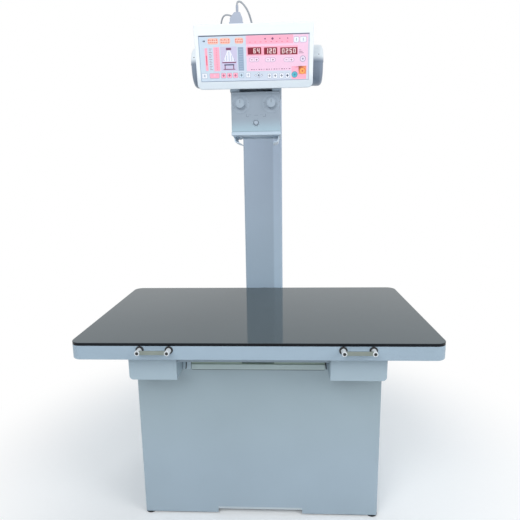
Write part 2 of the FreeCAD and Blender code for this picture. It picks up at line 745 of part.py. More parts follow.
def mains_rocker():
    """A rocker with a shallow V face; it rests with its upper half pressed in."""
    c = rocker_middle() - Y_AXIS * ROCKER_SINK
    h = ROCKER_HEIGHT / 2 - 0.8
    lean = math.tan(math.radians(ROCKER_SWING / 2))
    side = [(-3, -h * 0.55), (5.5, -h), (5.5 - h * lean, 0), (5.5, h), (-3, h * 0.55)]
    points = [V(c.x - ROCKER_WIDTH / 2, c.y + y, c.z + z) for y, z in side]
    body = prism(points, X_AXIS * ROCKER_WIDTH)
    body.rotate(c, X_AXIS, ROCKER_SWING / 2)
    axle = rod(1.94, c - X_AXIS * (ROCKER_WIDTH / 2 + 2.8), c + X_AXIS * (ROCKER_WIDTH / 2 + 2.8))
    return body.fuse(axle)


# Detector tray and the unit that carries it


def receptor_unit():
    """Sheet channel unit on the deck: two side walls with runner ledges and a grid shelf."""
    half = RECEPTOR_WIDTH / 2
    y0 = TRAY_FRONT_Y + TRAY_FRONT_DEPTH + 1
    y1 = y0 + RECEPTOR_DEPTH
    top = cross_member_bottom - RECEPTOR_TOP_GAP - GRID_THICKNESS
    sheet = RECEPTOR_SHEET
    body = block(-half, half, y0, y1, deck_top, top)
    body = body.cut(block(sheet - half, half - sheet, y0, y1 - sheet, deck_top + sheet, top - sheet))
    window = DETECTOR_SIZE / 2 - 5
    body = body.cut(block(-window, window, BEAM_Y - window, BEAM_Y + window, top - sheet, top))
    for side in (-1, 1):
        x0, x1 = sorted((side * (half - sheet), side * (TRAY_WIDTH / 2 - 12)))
        z1 = deck_top + sheet + 6
        body = body.fuse(block(x0, x1, y0, y1 - sheet, z1 - sheet, z1))
    return body.removeSplitter()


def scatter_grid():
    half = RECEPTOR_WIDTH / 2
    top = cross_member_bottom - RECEPTOR_TOP_GAP
    return block(-half + 4, half - 4, BEAM_Y - half + 40, BEAM_Y + half - 4, top - GRID_THICKNESS, top)


def tray_floor():
    return deck_top + RECEPTOR_SHEET + 6 + RUNNING_GAP


def tray_pan():
    """Folded pan that runs on the ledges and holds the flat detector."""
    half = TRAY_WIDTH / 2
    y0 = TRAY_FRONT_Y + TRAY_FRONT_DEPTH
    z0 = tray_floor()
    pan = block(-half, half, y0, y0 + TRAY_DEPTH, z0, z0 + TRAY_WALL)
    pan = pan.cut(block(TRAY_SHEET - half, half - TRAY_SHEET, y0 + TRAY_SHEET, y0 + TRAY_DEPTH - TRAY_SHEET,
                        z0 + TRAY_SHEET, z0 + TRAY_WALL))
    spot = V(0, y0 + TRAY_DEPTH / 2, z0)
    return pan.cut(rod(TRAY_HOLE_RADIUS, spot, spot + Z_AXIS * TRAY_SHEET))


def flat_detector():
    half = DETECTOR_SIZE / 2
    z0 = tray_floor() + TRAY_SHEET
    y0 = TRAY_FRONT_Y + TRAY_FRONT_DEPTH + TRAY_SHEET + 1
    plate = rounded_block(-half, half, y0, y0 + DETECTOR_SIZE, z0, z0 + DETECTOR_THICKNESS, 8.0)
    rims = [e for e in plate.Edges if e.BoundBox.ZMin > z0 + DETECTOR_THICKNESS - 0.1]
    return plate.makeChamfer(1.0, rims)


def tray_step_height():
    return deck_top + DECK_CLEARANCE + 19.0


def tray_top_height():
    return cross_member_bottom - 2.0


def tray_front():
    """Front of the tray: a proud lower band, a stepped-back upper band and a finger recess."""
    half = TRAY_FRONT_WIDTH / 2
    z0 = deck_top + DECK_CLEARANCE
    depth = TRAY_FRONT_DEPTH
    body = block(-half, half, TRAY_FRONT_Y, TRAY_FRONT_Y + depth, z0, tray_top_height())
    lower_corners = [e for e in body.Edges if e.BoundBox.ZMax < z0 + 0.1 and e.Length < depth + 1]
    body = body.makeFillet(3.0, lower_corners)
    band = block(-half, half, TRAY_FRONT_Y, TRAY_FRONT_Y + TRAY_STEP, tray_step_height(), tray_top_height())
    body = body.cut(band)
    pull = block(-PULL_WIDTH / 2, PULL_WIDTH / 2, TRAY_FRONT_Y, TRAY_FRONT_Y + PULL_DEPTH,
                 tray_step_height() + 2, tray_top_height())
    edges = [e for e in pull.Edges
             if e.BoundBox.ZMax < tray_step_height() + 2.1 and e.Length < PULL_DEPTH + 1]
    return body.cut(pull.makeFillet(4.0, edges))


def tray_catches():
    """Black spring catches at the tray's upper corners."""
    catches = []
    outer = TRAY_FRONT_WIDTH / 2 - TRAY_CATCH_INSET
    y1 = TRAY_FRONT_Y + TRAY_STEP
    y0 = y1 - TRAY_CATCH_DEPTH
    z1 = tray_top_height() - 1
    for side in (-1, 1):
        x0, x1 = sorted((side * (outer - TRAY_CATCH_WIDTH), side * outer))
        body = block(x0, x1, y0, y1, z1 - TRAY_CATCH_HEIGHT, z1)
        front = [e for e in body.Edges if e.BoundBox.YMax < y0 + 0.1]
        catches.append(body.makeChamfer(2.0, front))
    return catches


def edge_strips():
    """Curved rubber strips on thin feet that close the gap beside the tray front."""
    strips = []
    z0 = deck_top
    z1 = cross_member_bottom - RECEPTOR_TOP_GAP
    middle = (z0 + z1) / 2
    y = CABINET_FRONT + STRIP_SETBACK
    for side, reach, bow, thickness in LEFT_STRIP, RIGHT_STRIP:
        base = side * RECEPTOR_WIDTH / 2
        tip = base + side * (reach - bow)
        bulge = Part.Arc(V(tip, y, z0), V(tip + side * bow, y, middle), V(tip, y, z1))
        points = [V(tip, y, z1), V(base, y, z1), V(base, y, z0), V(tip, y, z0)]
        edges = [bulge.toShape()]
        edges = edges + [Part.LineSegment(points[i], points[i + 1]).toShape() for i in range(3)]
        outline = Part.Face(Part.Wire(Part.__sortEdges__(edges)))
        strips.append(outline.extrude(Y_AXIS * thickness))
    return strips


# Column


def column_post():
    x = COLUMN_WIDTH / 2
    y0 = COLUMN_FRONT
    y1 = COLUMN_FRONT + COLUMN_DEPTH
    wall = COLUMN_WALL
    post = rounded_block(-x, x, y0, y1, BASE_PLATE_THICKNESS, COLUMN_TOP, COLUMN_CORNER)
    core = rounded_block(wall - x, x - wall, y0 + wall, y1 - wall, BASE_PLATE_THICKNESS, COLUMN_TOP,
                         COLUMN_CORNER - wall)
    return post.cut(core)


def column_base_plate():
    half = BASE_PLATE_WIDTH / 2
    y0 = column_middle - BASE_PLATE_DEPTH / 2
    plate = rounded_block(-half, half, y0, y0 + BASE_PLATE_DEPTH, 0, BASE_PLATE_THICKNESS, 12.0)
    for x in (-ANCHOR_SPACING_X / 2, ANCHOR_SPACING_X / 2):
        for y in (-ANCHOR_SPACING_Y / 2, ANCHOR_SPACING_Y / 2):
            spot = V(x, column_middle + y, 0)
            plate = plate.cut(rod(ANCHOR_RADIUS, spot, spot + Z_AXIS * BASE_PLATE_THICKNESS))
    return plate


def column_cap():
    """Moulded cap with a skirt that fits inside the tube."""
    x = COLUMN_WIDTH / 2
    y0 = COLUMN_FRONT
    y1 = COLUMN_FRONT + COLUMN_DEPTH
    lid = rounded_block(-x, x, y0, y1, COLUMN_TOP, COLUMN_TOP + 5, COLUMN_CORNER)
    rims = [e for e in lid.Edges if e.BoundBox.ZMin > COLUMN_TOP + 4.9]
    lid = lid.makeFillet(2.0, rims)
    inset = COLUMN_WALL + RUNNING_GAP
    skirt = rounded_block(inset - x, x - inset, y0 + inset, y1 - inset, COLUMN_TOP - 15, COLUMN_TOP, 3.0)
    core = rounded_block(inset + 3 - x, x - inset - 3, y0 + inset + 3, y1 - inset - 3,
                         COLUMN_TOP - 15, COLUMN_TOP, 2.0)
    return lid.fuse(skirt.cut(core))


def column_ties():
    """Channels that tie the cabinet's rear to the column."""
    ties = []
    x = TIE_WIDTH / 2
    for z in TIE_LEVELS:
        body = block(-x, x, CABINET_REAR, COLUMN_FRONT, z, z + TIE_HEIGHT)
        room = block(TIE_SHEET - x, x - TIE_SHEET, CABINET_REAR + TIE_SHEET, COLUMN_FRONT - TIE_SHEET,
                     z + TIE_SHEET, z + TIE_HEIGHT)
        ties.append(body.cut(room))
    return ties


# Support arm and the swivel that carries the head


def flange_front():
    return BEAM_Y + BARREL_RADIUS + CRADLE_BEHIND


def bearing_front():
    return flange_front() + SWIVEL_FLANGE + BEARING_GAP


def support_arm():
    """Arm tube with a bolted end plate and the bored bearing housing at its front."""
    y0 = bearing_front()
    y1 = y0 + BEARING_LENGTH
    plate_y = COLUMN_FRONT - ARM_PLATE
    bearing = rod(SWIVEL_FLANGE_RADIUS, V(0, y0, barrel_z), V(0, y1, barrel_z))
    rims = [e for e in bearing.Edges if e.BoundBox.YMax < y0 + 0.1]
    bearing = bearing.makeChamfer(3.0, rims)
    x = ARM_WIDTH / 2
    tube = box_tube(-x, x, y1, plate_y, barrel_z - ARM_HEIGHT / 2, barrel_z + ARM_HEIGHT / 2, ARM_WALL, "y")
    half = COLUMN_WIDTH / 2 - ARM_PLATE_INSET
    plate = block(-half, half, plate_y, COLUMN_FRONT, barrel_z - ARM_PLATE_HALF, barrel_z + ARM_PLATE_HALF)
    arm = bearing.fuse(tube).fuse(plate)
    arm = arm.cut(rod(SWIVEL_RADIUS + SWIVEL_CLEARANCE, V(0, y0, barrel_z), V(0, y1, barrel_z)))
    bore_x = SWIVEL_RADIUS + SWIVEL_CLEARANCE - 1
    stem = V(bore_x, y0 + BEARING_LENGTH / 2, barrel_z)
    arm = arm.cut(rod(LOCK_STEM_RADIUS + SWIVEL_CLEARANCE, stem, stem + X_AXIS * SWIVEL_FLANGE_RADIUS))
    return arm.removeSplitter()


def arm_bolts():
    bolts = []
    y1 = COLUMN_FRONT - ARM_PLATE
    for x in (-BOLT_SPREAD_X, BOLT_SPREAD_X):
        for z in (barrel_z - BOLT_SPREAD_Z, barrel_z + BOLT_SPREAD_Z):
            points = [V(x + BOLT_SIZE * math.cos(a), y1, z + BOLT_SIZE * math.sin(a))
                      for a in (math.pi * k / 3 for k in range(6))]
            bolts.append(prism(points, V(0, -BOLT_HEAD, 0)))
    return bolts


def swivel_shaft():
    """Flange plate, collar, journal and threaded stud in a row; the nut behind keeps them in."""
    y0 = flange_front()
    y1 = y0 + SWIVEL_FLANGE
    y2 = bearing_front() + BEARING_LENGTH - 0.3
    flange = rod(SWIVEL_FLANGE_RADIUS, V(0, y0, barrel_z), V(0, y1, barrel_z))
    rims = [e for e in flange.Edges if e.Length > 2 * SWIVEL_FLANGE_RADIUS]
    flange = flange.makeChamfer(1.0, rims)
    collar_end = bearing_front() - RUNNING_GAP
    collar = rod(SWIVEL_RADIUS + 8, V(0, y1, barrel_z), V(0, collar_end, barrel_z))
    journal = rod(SWIVEL_RADIUS, V(0, collar_end, barrel_z), V(0, y2, barrel_z))
    stud = rod(THREAD_RADIUS, V(0, y2, barrel_z), V(0, y2 + NUT_THICKNESS + 6, barrel_z))
    return [flange, collar, journal, stud]


def swivel_nut():
    y0 = bearing_front() + BEARING_LENGTH + RUNNING_GAP
    flats = [V(NUT_RADIUS * math.cos(a), y0, barrel_z + NUT_RADIUS * math.sin(a))
             for a in (math.pi * k / 3 for k in range(6))]
    return prism(flats, V(0, NUT_THICKNESS, 0)).cut(
        rod(THREAD_RADIUS, V(0, y0 - 1, barrel_z), V(0, y0 + NUT_THICKNESS + 1, barrel_z)))


def swivel_lock_knob():
    """Fluted knob on a threaded stem whose end presses on the journal when it is turned in."""
    y = bearing_front() + BEARING_LENGTH / 2
    tip = SWIVEL_RADIUS + 2 * SWIVEL_CLEARANCE + 0.2
    face = SWIVEL_FLANGE_RADIUS + 2
    grip = face + 26
    stem = rod(LOCK_STEM_RADIUS, V(tip, y, barrel_z), V(face, y, barrel_z))
    knob = rod(LOCK_KNOB_RADIUS, V(face, y, barrel_z), V(grip, y, barrel_z))
    rims = [e for e in knob.Edges if e.Length > 2 * LOCK_KNOB_RADIUS and e.BoundBox.XMin > grip - 0.1]
    knob = knob.makeFillet(4.0, rims)
    for k in range(6):
        a = math.pi * k / 3
        spot = V(face, y + 24 * math.cos(a), barrel_z + 24 * math.sin(a))
        knob = knob.cut(rod(7.0, spot, spot + X_AXIS * (grip - face)))
    return knob.fuse(stem)


# X-ray head


def barrel_core():
    return rod(BARREL_RADIUS, V(-BARREL_LEFT, BEAM_Y, barrel_z), V(BARREL_RIGHT, BEAM_Y, barrel_z))


def tube_housing():
    """Turned barrel with a seam groove at each end."""
    barrel = barrel_core()
    for x in (BARREL_GROOVE_INSET - BARREL_LEFT, BARREL_RIGHT - BARREL_GROOVE_INSET):
        a = V(x - 1.5, BEAM_Y, barrel_z)
        barrel = barrel.cut(ring(BARREL_RADIUS + 1, BARREL_RADIUS - 1.5, a, a + X_AXIS * 3))
    return barrel


def end_cap(side):
    """Domed end cover in two half rounds: the lower half is stepped in from the upper."""
    barrel_end = BARREL_LEFT if side < 0 else BARREL_RIGHT
    start = V(side * barrel_end, BEAM_Y, barrel_z)
    end = V(side * (barrel_end + CAP_LENGTH), BEAM_Y, barrel_z)
    dome = rod(BARREL_RADIUS, start, end)
    rims = [e for e in dome.Edges if abs(abs(e.BoundBox.XMin) - abs(end.x)) < 0.1
            and e.BoundBox.XLength < 0.1]
    dome = dome.makeFillet(CAP_ROUND, rims)
    inner_end = end - X_AXIS * (side * CAP_STEP)
    low = rod(BARREL_RADIUS - CAP_STEP, start, inner_end)
    rims = [e for e in low.Edges if abs(abs(e.BoundBox.XMin) - abs(inner_end.x)) < 0.1
            and e.BoundBox.XLength < 0.1]
    low = low.makeFillet(CAP_ROUND - CAP_STEP, rims)
    reach = barrel_end + CAP_LENGTH + 5
    above = block(-reach, reach, BEAM_Y - 100, BEAM_Y + 100, barrel_z, barrel_z + 100)
    below = block(-reach, reach, BEAM_Y - 100, BEAM_Y + 100, barrel_z - 100, barrel_z)
    return dome.common(above).fuse(low.common(below)).removeSplitter()


def cradle():
    """Saddle between the barrel and the swivel flange."""
    y1 = flange_front()
    y0 = y1 - CRADLE_WRAP
    x = CRADLE_HALF_WIDTH
    body = rounded_block(-x, x, y0, y1, barrel_z - CRADLE_HALF_HEIGHT, barrel_z + CRADLE_HALF_HEIGHT, 6.0)
    return body.cut(barrel_core())


def port_block():
    """Block between the barrel's underside and the collimator's mount plate."""
    z0 = mount_plate_bottom() + MOUNT_PLATE
    x = PORT_BLOCK_HALF_WIDTH
    body = rounded_block(-x, x, BEAM_Y - PORT_BLOCK_HALF_DEPTH, BEAM_Y + PORT_BLOCK_HALF_DEPTH,
                         z0, barrel_z - PORT_BLOCK_INTO_BARREL, 6.0)
    body = body.cut(barrel_core())
    return body.cut(rod(PORT_RADIUS, V(0, BEAM_Y, z0), V(0, BEAM_Y, barrel_z)))


def mount_plate_bottom():
    return collimator_bottom + COLLIMATOR_HEIGHT + SWIVEL_RING_HEIGHT


def collimator_mount():
    """Plate with a cheek hanging down on each side of the swivel ring."""
    z0 = mount_plate_bottom()
    x = MOUNT_HALF_WIDTH
    y0 = BEAM_Y - 90
    y1 = BEAM_Y + 90
    plate = rounded_block(-x, x, BEAM_Y - MOUNT_PLATE_FRONT, y1, z0, z0 + MOUNT_PLATE, 5.0)
    for side in (-1, 1):
        x0, x1 = sorted((side * (SWIVEL_RING_RADIUS + 2), side * x))
        cheek = rounded_block(x0, x1, y0, y1, z0 - SWIVEL_RING_HEIGHT + 1, z0, 4.0)
        plate = plate.fuse(cheek)
    bore = rod(HUB_RADIUS + HUB_CLEARANCE, V(0, BEAM_Y, z0), V(0, BEAM_Y, z0 + MOUNT_PLATE))
    return plate.cut(bore).removeSplitter()


def swivel_ring():
    """Ring on the collimator whose hub turns in the mount plate."""
    z0 = collimator_bottom + COLLIMATOR_HEIGHT
    z1 = mount_plate_bottom() - RUNNING_GAP
    z2 = mount_plate_bottom() + MOUNT_PLATE - RUNNING_GAP
    low = rod(SWIVEL_RING_RADIUS, V(0, BEAM_Y, z0), V(0, BEAM_Y, z1))
    groove = ring(SWIVEL_RING_RADIUS + 1, SWIVEL_RING_RADIUS - 2,
                  V(0, BEAM_Y, z0 + 3), V(0, BEAM_Y, z0 + 5.5))
    hub = rod(HUB_RADIUS, V(0, BEAM_Y, z1), V(0, BEAM_Y, z2))
    return low.cut(groove).fuse(hub).cut(rod(PORT_RADIUS + 2, V(0, BEAM_Y, z0), V(0, BEAM_Y, z2)))


# Control console: drawn upright with its face on y = 0 and its lower edge on z = 0


def lean(shape):
    """Turn an upright console piece to its tilt and move it to its place on the head."""
    shape = shape.copy()
    shape.rotate(V(0, 0, 0), X_AXIS, CONSOLE_TILT)
    shape.translate(V(0, CONSOLE_BOTTOM_Y, console_bottom_z))
    return shape


def leaned(point):
    a = math.radians(CONSOLE_TILT)
    y = point.y * math.cos(a) - point.z * math.sin(a)
    z = point.y * math.sin(a) + point.z * math.cos(a)
    return V(point.x, CONSOLE_BOTTOM_Y + y, console_bottom_z + z)


def console_form(inset, y0, y1):
    x = CONSOLE_WIDTH / 2 - inset
    z0 = inset
    z1 = CONSOLE_HEIGHT - inset
    body = block(-x, x, y0, y1, z0, z1)

    def corner(low):
        return [e for e in body.Edges
                if e.BoundBox.XLength < 0.1 and e.BoundBox.ZLength < 0.1
                and (e.BoundBox.ZMax < z0 + 0.1) == low]

    body = body.makeFillet(CONSOLE_LOWER_CORNER - inset, corner(True))
    return body.makeFillet(CONSOLE_UPPER_CORNER - inset, corner(False))


def console_shell():
    """Rear shell of the console, open towards the bezel."""
    shell = console_form(0, BEZEL_DEPTH, CONSOLE_DEPTH)
    rims = [e for e in shell.Edges if e.BoundBox.YMin > CONSOLE_DEPTH - 0.1]
    shell = shell.makeFillet(CONSOLE_EDGE_ROUND, rims)
    return lean(shell.cut(console_form(CONSOLE_WALL, BEZEL_DEPTH - 1, CONSOLE_DEPTH - CONSOLE_WALL)))


def console_bezel():
    """Front frame with the stepped recess that the control panel is stuck into."""
    frame = console_form(0, 0, BEZEL_DEPTH)
    rims = [e for e in frame.Edges if e.BoundBox.YMax < 0.1]
    frame = frame.makeFillet(CONSOLE_EDGE_ROUND, rims)
    x = OVERLAY_WIDTH / 2
    low = OVERLAY_LOW_MARGIN
    high = OVERLAY_LOW_MARGIN + OVERLAY_HEIGHT
    frame = frame.cut(block(-x, x, -1, OVERLAY_RECESS, low, high))
    frame = frame.cut(block(10 - x, x - 10, 0, 6, low + 10, high - 10))
    return lean(frame.cut(console_form(CONSOLE_WALL, 6, BEZEL_DEPTH)))


def control_overlay():
    x = OVERLAY_WIDTH / 2 - RUNNING_GAP
    low = OVERLAY_LOW_MARGIN + RUNNING_GAP
    high = OVERLAY_LOW_MARGIN + OVERLAY_HEIGHT - RUNNING_GAP
    panel = block(-x, x, OVERLAY_RECESS - OVERLAY_THICKNESS, OVERLAY_RECESS, low, high)
    return lean(panel)


def display_modules():
    """Three display blocks behind the panel's windows."""
    y0 = OVERLAY_RECESS
    modules = []
    for x0, x1 in WINDOW_SPANS:
        modules.append(lean(block(x0, x1, y0, y0 + MODULE_DEPTH, WINDOW_LOW, WINDOW_HIGH)))
    return modules


def console_bracket():
    """Saddle between the console's rear face and the barrel."""
    x = BRACKET_HALF
    body = block(-x, x, CONSOLE_DEPTH, CONSOLE_DEPTH + BRACKET_DEPTH, BRACKET_LOW, BRACKET_HIGH)
    rims = [e for e in body.Edges if e.BoundBox.YLength > BRACKET_DEPTH - 1]
    return lean(body.makeFillet(6.0, rims)).cut(barrel_core())


# Connector on the console's top and the two leads to the barrel


def hood_base_z():
    return leaned(V(0, CONSOLE_DEPTH * 0.75, CONSOLE_HEIGHT)).z


def cable_connector():
    """Bell-shaped hood seated on the sloping top of the console."""
    z0 = hood_base_z() - 12
    shoulder = hood_base_z() + HOOD_SHOULDER
    top = hood_base_z() + HOOD_HEIGHT
    b = HOOD_BASE / 2
    t = HOOD_TOP / 2
    dx = RELIEF_X - HOOD_X
    side = [(-b, z0), (-b + 1, shoulder), (dx - t, top), (dx + t, top), (b - 1, shoulder), (b, z0)]
    points = [V(HOOD_X + x, HOOD_Y - HOOD_THICKNESS / 2, z) for x, z in side]
    hood = prism(points, V(0, HOOD_THICKNESS, 0))
    upper = [e for e in hood.Edges if e.BoundBox.ZMin > z0 + 1 and e.BoundBox.YLength < 1]
    hood = hood.makeFillet(2.5, upper)
    lip = block(HOOD_X - b - 1.5, HOOD_X + b + 1.5, HOOD_Y - HOOD_THICKNESS / 2 - 1,
                HOOD_Y + HOOD_THICKNESS / 2 + 1, z0, hood_base_z() + 4)
    under = lean(block(-200, 200, -50, 150, CONSOLE_HEIGHT - 60, CONSOLE_HEIGHT))
    return hood.fuse(lip).cut(under).removeSplitter()


def strain_relief():
    """Ribbed sleeve on top of the hood."""
    top = hood_base_z() + HOOD_HEIGHT
    base = V(RELIEF_X, HOOD_Y, top)
    sleeve = rod(RELIEF_RADIUS, base, base + Z_AXIS * RELIEF_LENGTH)
    for k in range(RELIEF_RIBS):
        z = top + 4 + 4 * k
        sleeve = sleeve.cut(ring(RELIEF_RADIUS + 1, RELIEF_RADIUS - 0.8,
                                 V(RELIEF_X, HOOD_Y, z), V(RELIEF_X, HOOD_Y, z + 1.6)))
    return sleeve


def gland_axis():
    a = math.radians(GLAND_LEAN)
    return V(0, -math.sin(a), math.cos(a))


def gland_tip(x):
    return V(x, BEAM_Y, barrel_z) + gland_axis() * (BARREL_RADIUS + GLAND_LENGTH)


def cable_glands():
    """Screwed glands on the barrel's upper front, a hexagon under a round nut."""
    glands = []
    for x in (LINK_GLAND_X, SIGNAL_GLAND_X):
        axis = gland_axis()
        across = axis.cross(X_AXIS)
        foot = V(x, BEAM_Y, barrel_z) + axis * (BARREL_RADIUS - 6)
        size = GLAND_HEXAGON
        points = [foot + X_AXIS * (size * math.cos(a)) + across * (size * math.sin(a))
                  for a in (math.pi * k / 3 for k in range(6))]
        body = prism(points, axis * 13).cut(barrel_core())
        nut = rod(GLAND_NUT_RADIUS, foot + axis * 13, gland_tip(x))
        rims = [e for e in nut.Edges
                if e.Length > 5 * GLAND_NUT_RADIUS and (e.CenterOfMass - gland_tip(x)).Length < 1]
        glands.append(body.fuse(nut.makeChamfer(1.5, rims)))
    return glands


def link_cable_points():
    top = hood_base_z() + HOOD_HEIGHT + RELIEF_LENGTH
    tip = gland_tip(LINK_GLAND_X)
    start = V(RELIEF_X, HOOD_Y, top)
    points = [start, start + V(0, 0, 7.5), start + V(5.5, 1, 12), start + V(14, 3.5, 10)]
    points = points + [start + V(24, 10, 1), start + V(33, 20, -10.5), start + V(39.5, 33, -25)]
    points = points + [start + V(44.5, 50, -43), start + V(46, 72, -60)]
    return points + [tip + gland_axis() * 12, tip]


def signal_cable_points():
    start = V(HOOD_X - HOOD_BASE / 2 + 5.0, HOOD_Y, hood_base_z() + 25)
    tip = gland_tip(SIGNAL_GLAND_X)
    points = [start, start + V(-14, 4, 7), start + V(-31, 20, 4)]
    return points + [start + V(-41, 48, -18), tip + gland_axis() * 18, tip]


def cord_path(points):
    """Straight runs joined by tangent arcs, each as large as its two runs allow."""
    edges = []
    last = points[0]
    for i in range(1, len(points) - 1):
        a = points[i] - points[i - 1]
        b = points[i + 1] - points[i]
        shorter = min(a.Length, b.Length)
        turn = a.getAngle(b)
        a.normalize()
        b.normalize()
        reach = 0.45 * shorter
        radius = reach / math.tan(turn / 2)
        start = points[i] - a * reach
        end = points[i] + b * reach
        inward = (b - a).normalize()
        centre = points[i] + inward * (radius / math.cos(turn / 2))
        middle = centre - inward * radius
        edges.append(Part.LineSegment(last, start).toShape())
        edges.append(Part.Arc(start, middle, end).toShape())
        print("cord arc radius", round(radius, 1), "turn", round(math.degrees(turn), 1))
        last = end
    edges.append(Part.LineSegment(last, points[-1]).toShape())
    return Part.Wire(edges)


def cord(points, radius):
    path = cord_path(points)
    direction = points[1] - points[0]
    section = Part.Wire(Part.makeCircle(radius, points[0], direction))
    tube = path.makePipeShell([section], True, False)
    wanted = math.pi * radius * radius * path.Length
    print("cord length", round(path.Length, 1), "volume ratio", round(tube.Volume / wanted, 4))
    return tube


def link_cable():
    return cord(link_cable_points(), LINK_CABLE_RADIUS)


def signal_cable():
    hood = cable_connector()
    return cord(signal_cable_points(), SIGNAL_CABLE_RADIUS).cut(hood)


# Collimator: housing, lip and window, and the shutter mechanism inside


def collimator_ceiling():
    return collimator_bottom + COLLIMATOR_HEIGHT - COLLIMATOR_WALL


def collimator_front():
    return BEAM_Y - COLLIMATOR_DEPTH / 2


def knob_x():
    return GEAR_MODULE * GEAR_TEETH


def knob_z():
    return collimator_bottom + COLLIMATOR_HEIGHT - KNOB_DROP


def gear_radius():
    return GEAR_MODULE * GEAR_TEETH / 2


def shaft_bore(x, y0, y1):
    radius = SHAFT_RADIUS + SHAFT_CLEARANCE
    return rod(radius, V(x, y0, knob_z()), V(x, y1, knob_z()))


def collimator_housing():
    """Cast cover, open below, with bosses for the two knob shafts and the gear's stub."""
    x = COLLIMATOR_WIDTH / 2
    y0 = collimator_front()
    y1 = y0 + COLLIMATOR_DEPTH
    z0 = collimator_bottom + LIP_HEIGHT
    z1 = collimator_bottom + COLLIMATOR_HEIGHT
    wall = COLLIMATOR_WALL
    body = rounded_block(-x, x, y0, y1, z0, z1, COLLIMATOR_ROUND)
    rims = [e for e in body.Edges if e.BoundBox.ZMin > z1 - 0.1]
    body = body.makeFillet(2.0, rims)
    body = body.cut(block(wall - x, x - wall, y0 + wall, y1 - wall, z0 - 1, collimator_ceiling()))
    for side in (-1, 1):
        spot = V(side * knob_x(), y0 + wall, knob_z())
        body = body.fuse(rod(SHAFT_RADIUS + 3, spot, spot + Y_AXIS * 2))
    stub = V(0, y0 + wall, knob_z())
    body = body.fuse(rod(GEAR_STUB_RADIUS, stub, V(0, rack_plane() + GEAR_FACE + 0.5, knob_z())))
    rear_boss = V(knob_x(), y1 - wall - 3, knob_z())
    body = body.fuse(rod(SHAFT_RADIUS + 3, rear_boss, rear_boss + Y_AXIS * 3))
    body = body.cut(shaft_bore(-knob_x(), y0 - 1, y0 + 6))
    body = body.cut(shaft_bore(knob_x(), y0 - 1, y0 + 6))
    body = body.cut(shaft_bore(knob_x(), y1 - wall - 4, y1 - wall))
    body = body.cut(rod(PORT_RADIUS, V(0, BEAM_Y, z1 - 10), V(0, BEAM_Y, z1 + 1)))
    z = button_z()
    body = body.cut(rod(BUTTON_RADIUS + 0.3, V(0, y0 - 1, z), V(0, y0 + wall + 1, z)))
    return body.removeSplitter()


def collimator_base():
    """Lip frame round the field window, with ledges for the window pane."""
    x = COLLIMATOR_WIDTH / 2 + LIP_PROUD
    y0 = collimator_front() - LIP_PROUD
    y1 = y0 + COLLIMATOR_DEPTH + 2 * LIP_PROUD
    z0 = collimator_bottom
    half = FIELD_OPENING / 2
    body = rounded_block(-x, x, y0, y1, z0, z0 + LIP_HEIGHT, COLLIMATOR_ROUND + LIP_PROUD)
    rims = [e for e in body.Edges if e.BoundBox.ZMax < z0 + 0.1]
    body = body.makeFillet(2.0, rims)
    body = body.cut(block(-half, half, BEAM_Y - half, BEAM_Y + half, z0 - 1, z0 + LIP_HEIGHT + 1))
    seat = half + 4
    return body.cut(block(-seat, seat, BEAM_Y - seat, BEAM_Y + seat, z0 + 4, z0 + LIP_HEIGHT))


def field_window():
    seat = FIELD_OPENING / 2 + 4 - RUNNING_GAP
    z0 = collimator_bottom + 4
    return block(-seat, seat, BEAM_Y - seat, BEAM_Y + seat, z0, z0 + 2)


def accessory_rails():
    """Two bent metal rails under the lip that hold a slide-in filter."""
    rails = []
    y0 = BEAM_Y - FILTER_RAIL_LENGTH / 2
    z = collimator_bottom
    side = [(80, 0), (64, 0), (64, -2.5), (77, -2.5), (72, -19), (58, -23), (58, -26), (75, -21)]
    for sign in (-1, 1):
        points = [V(sign * a, y0, z + b) for a, b in side]
        rails.append(prism(points, Y_AXIS * FILTER_RAIL_LENGTH))
    return rails


def dial_plates():
    """Thin scale discs under the knobs."""
    discs = []
    y1 = collimator_front()
    for x in (-knob_x(), knob_x()):
        disc = rod(DIAL_RADIUS, V(x, y1 - DIAL_THICKNESS, knob_z()), V(x, y1, knob_z()))
        discs.append(disc.cut(shaft_bore(x, y1 - 5, y1 + 5)))
    return discs


def knob(x):
    """Turned knob with a skirt and a fluted grip."""
    y1 = collimator_front() - DIAL_THICKNESS - RUNNING_GAP
    skirt = rod(KNOB_RADIUS + 2, V(x, y1 - 3, knob_z()), V(x, y1, knob_z()))
    grip = rod(KNOB_RADIUS, V(x, y1 - KNOB_DEPTH, knob_z()), V(x, y1 - 3, knob_z()))
    rims = [e for e in grip.Edges if e.BoundBox.YMax < y1 - KNOB_DEPTH + 0.1]
    grip = grip.makeFillet(2.0, rims)
    for k in range(12):
        a = math.pi * k / 6
        reach = KNOB_RADIUS + 1.4
        spot = V(x + reach * math.cos(a), y1 - KNOB_DEPTH - 1, knob_z() + reach * math.sin(a))
        grip = grip.cut(rod(2.2, spot, V(spot.x, y1 - 4, spot.z)))
    return skirt.fuse(grip).cut(rod(SHAFT_RADIUS, V(x, y1 - 8, knob_z()), V(x, y1 + 1, knob_z())))


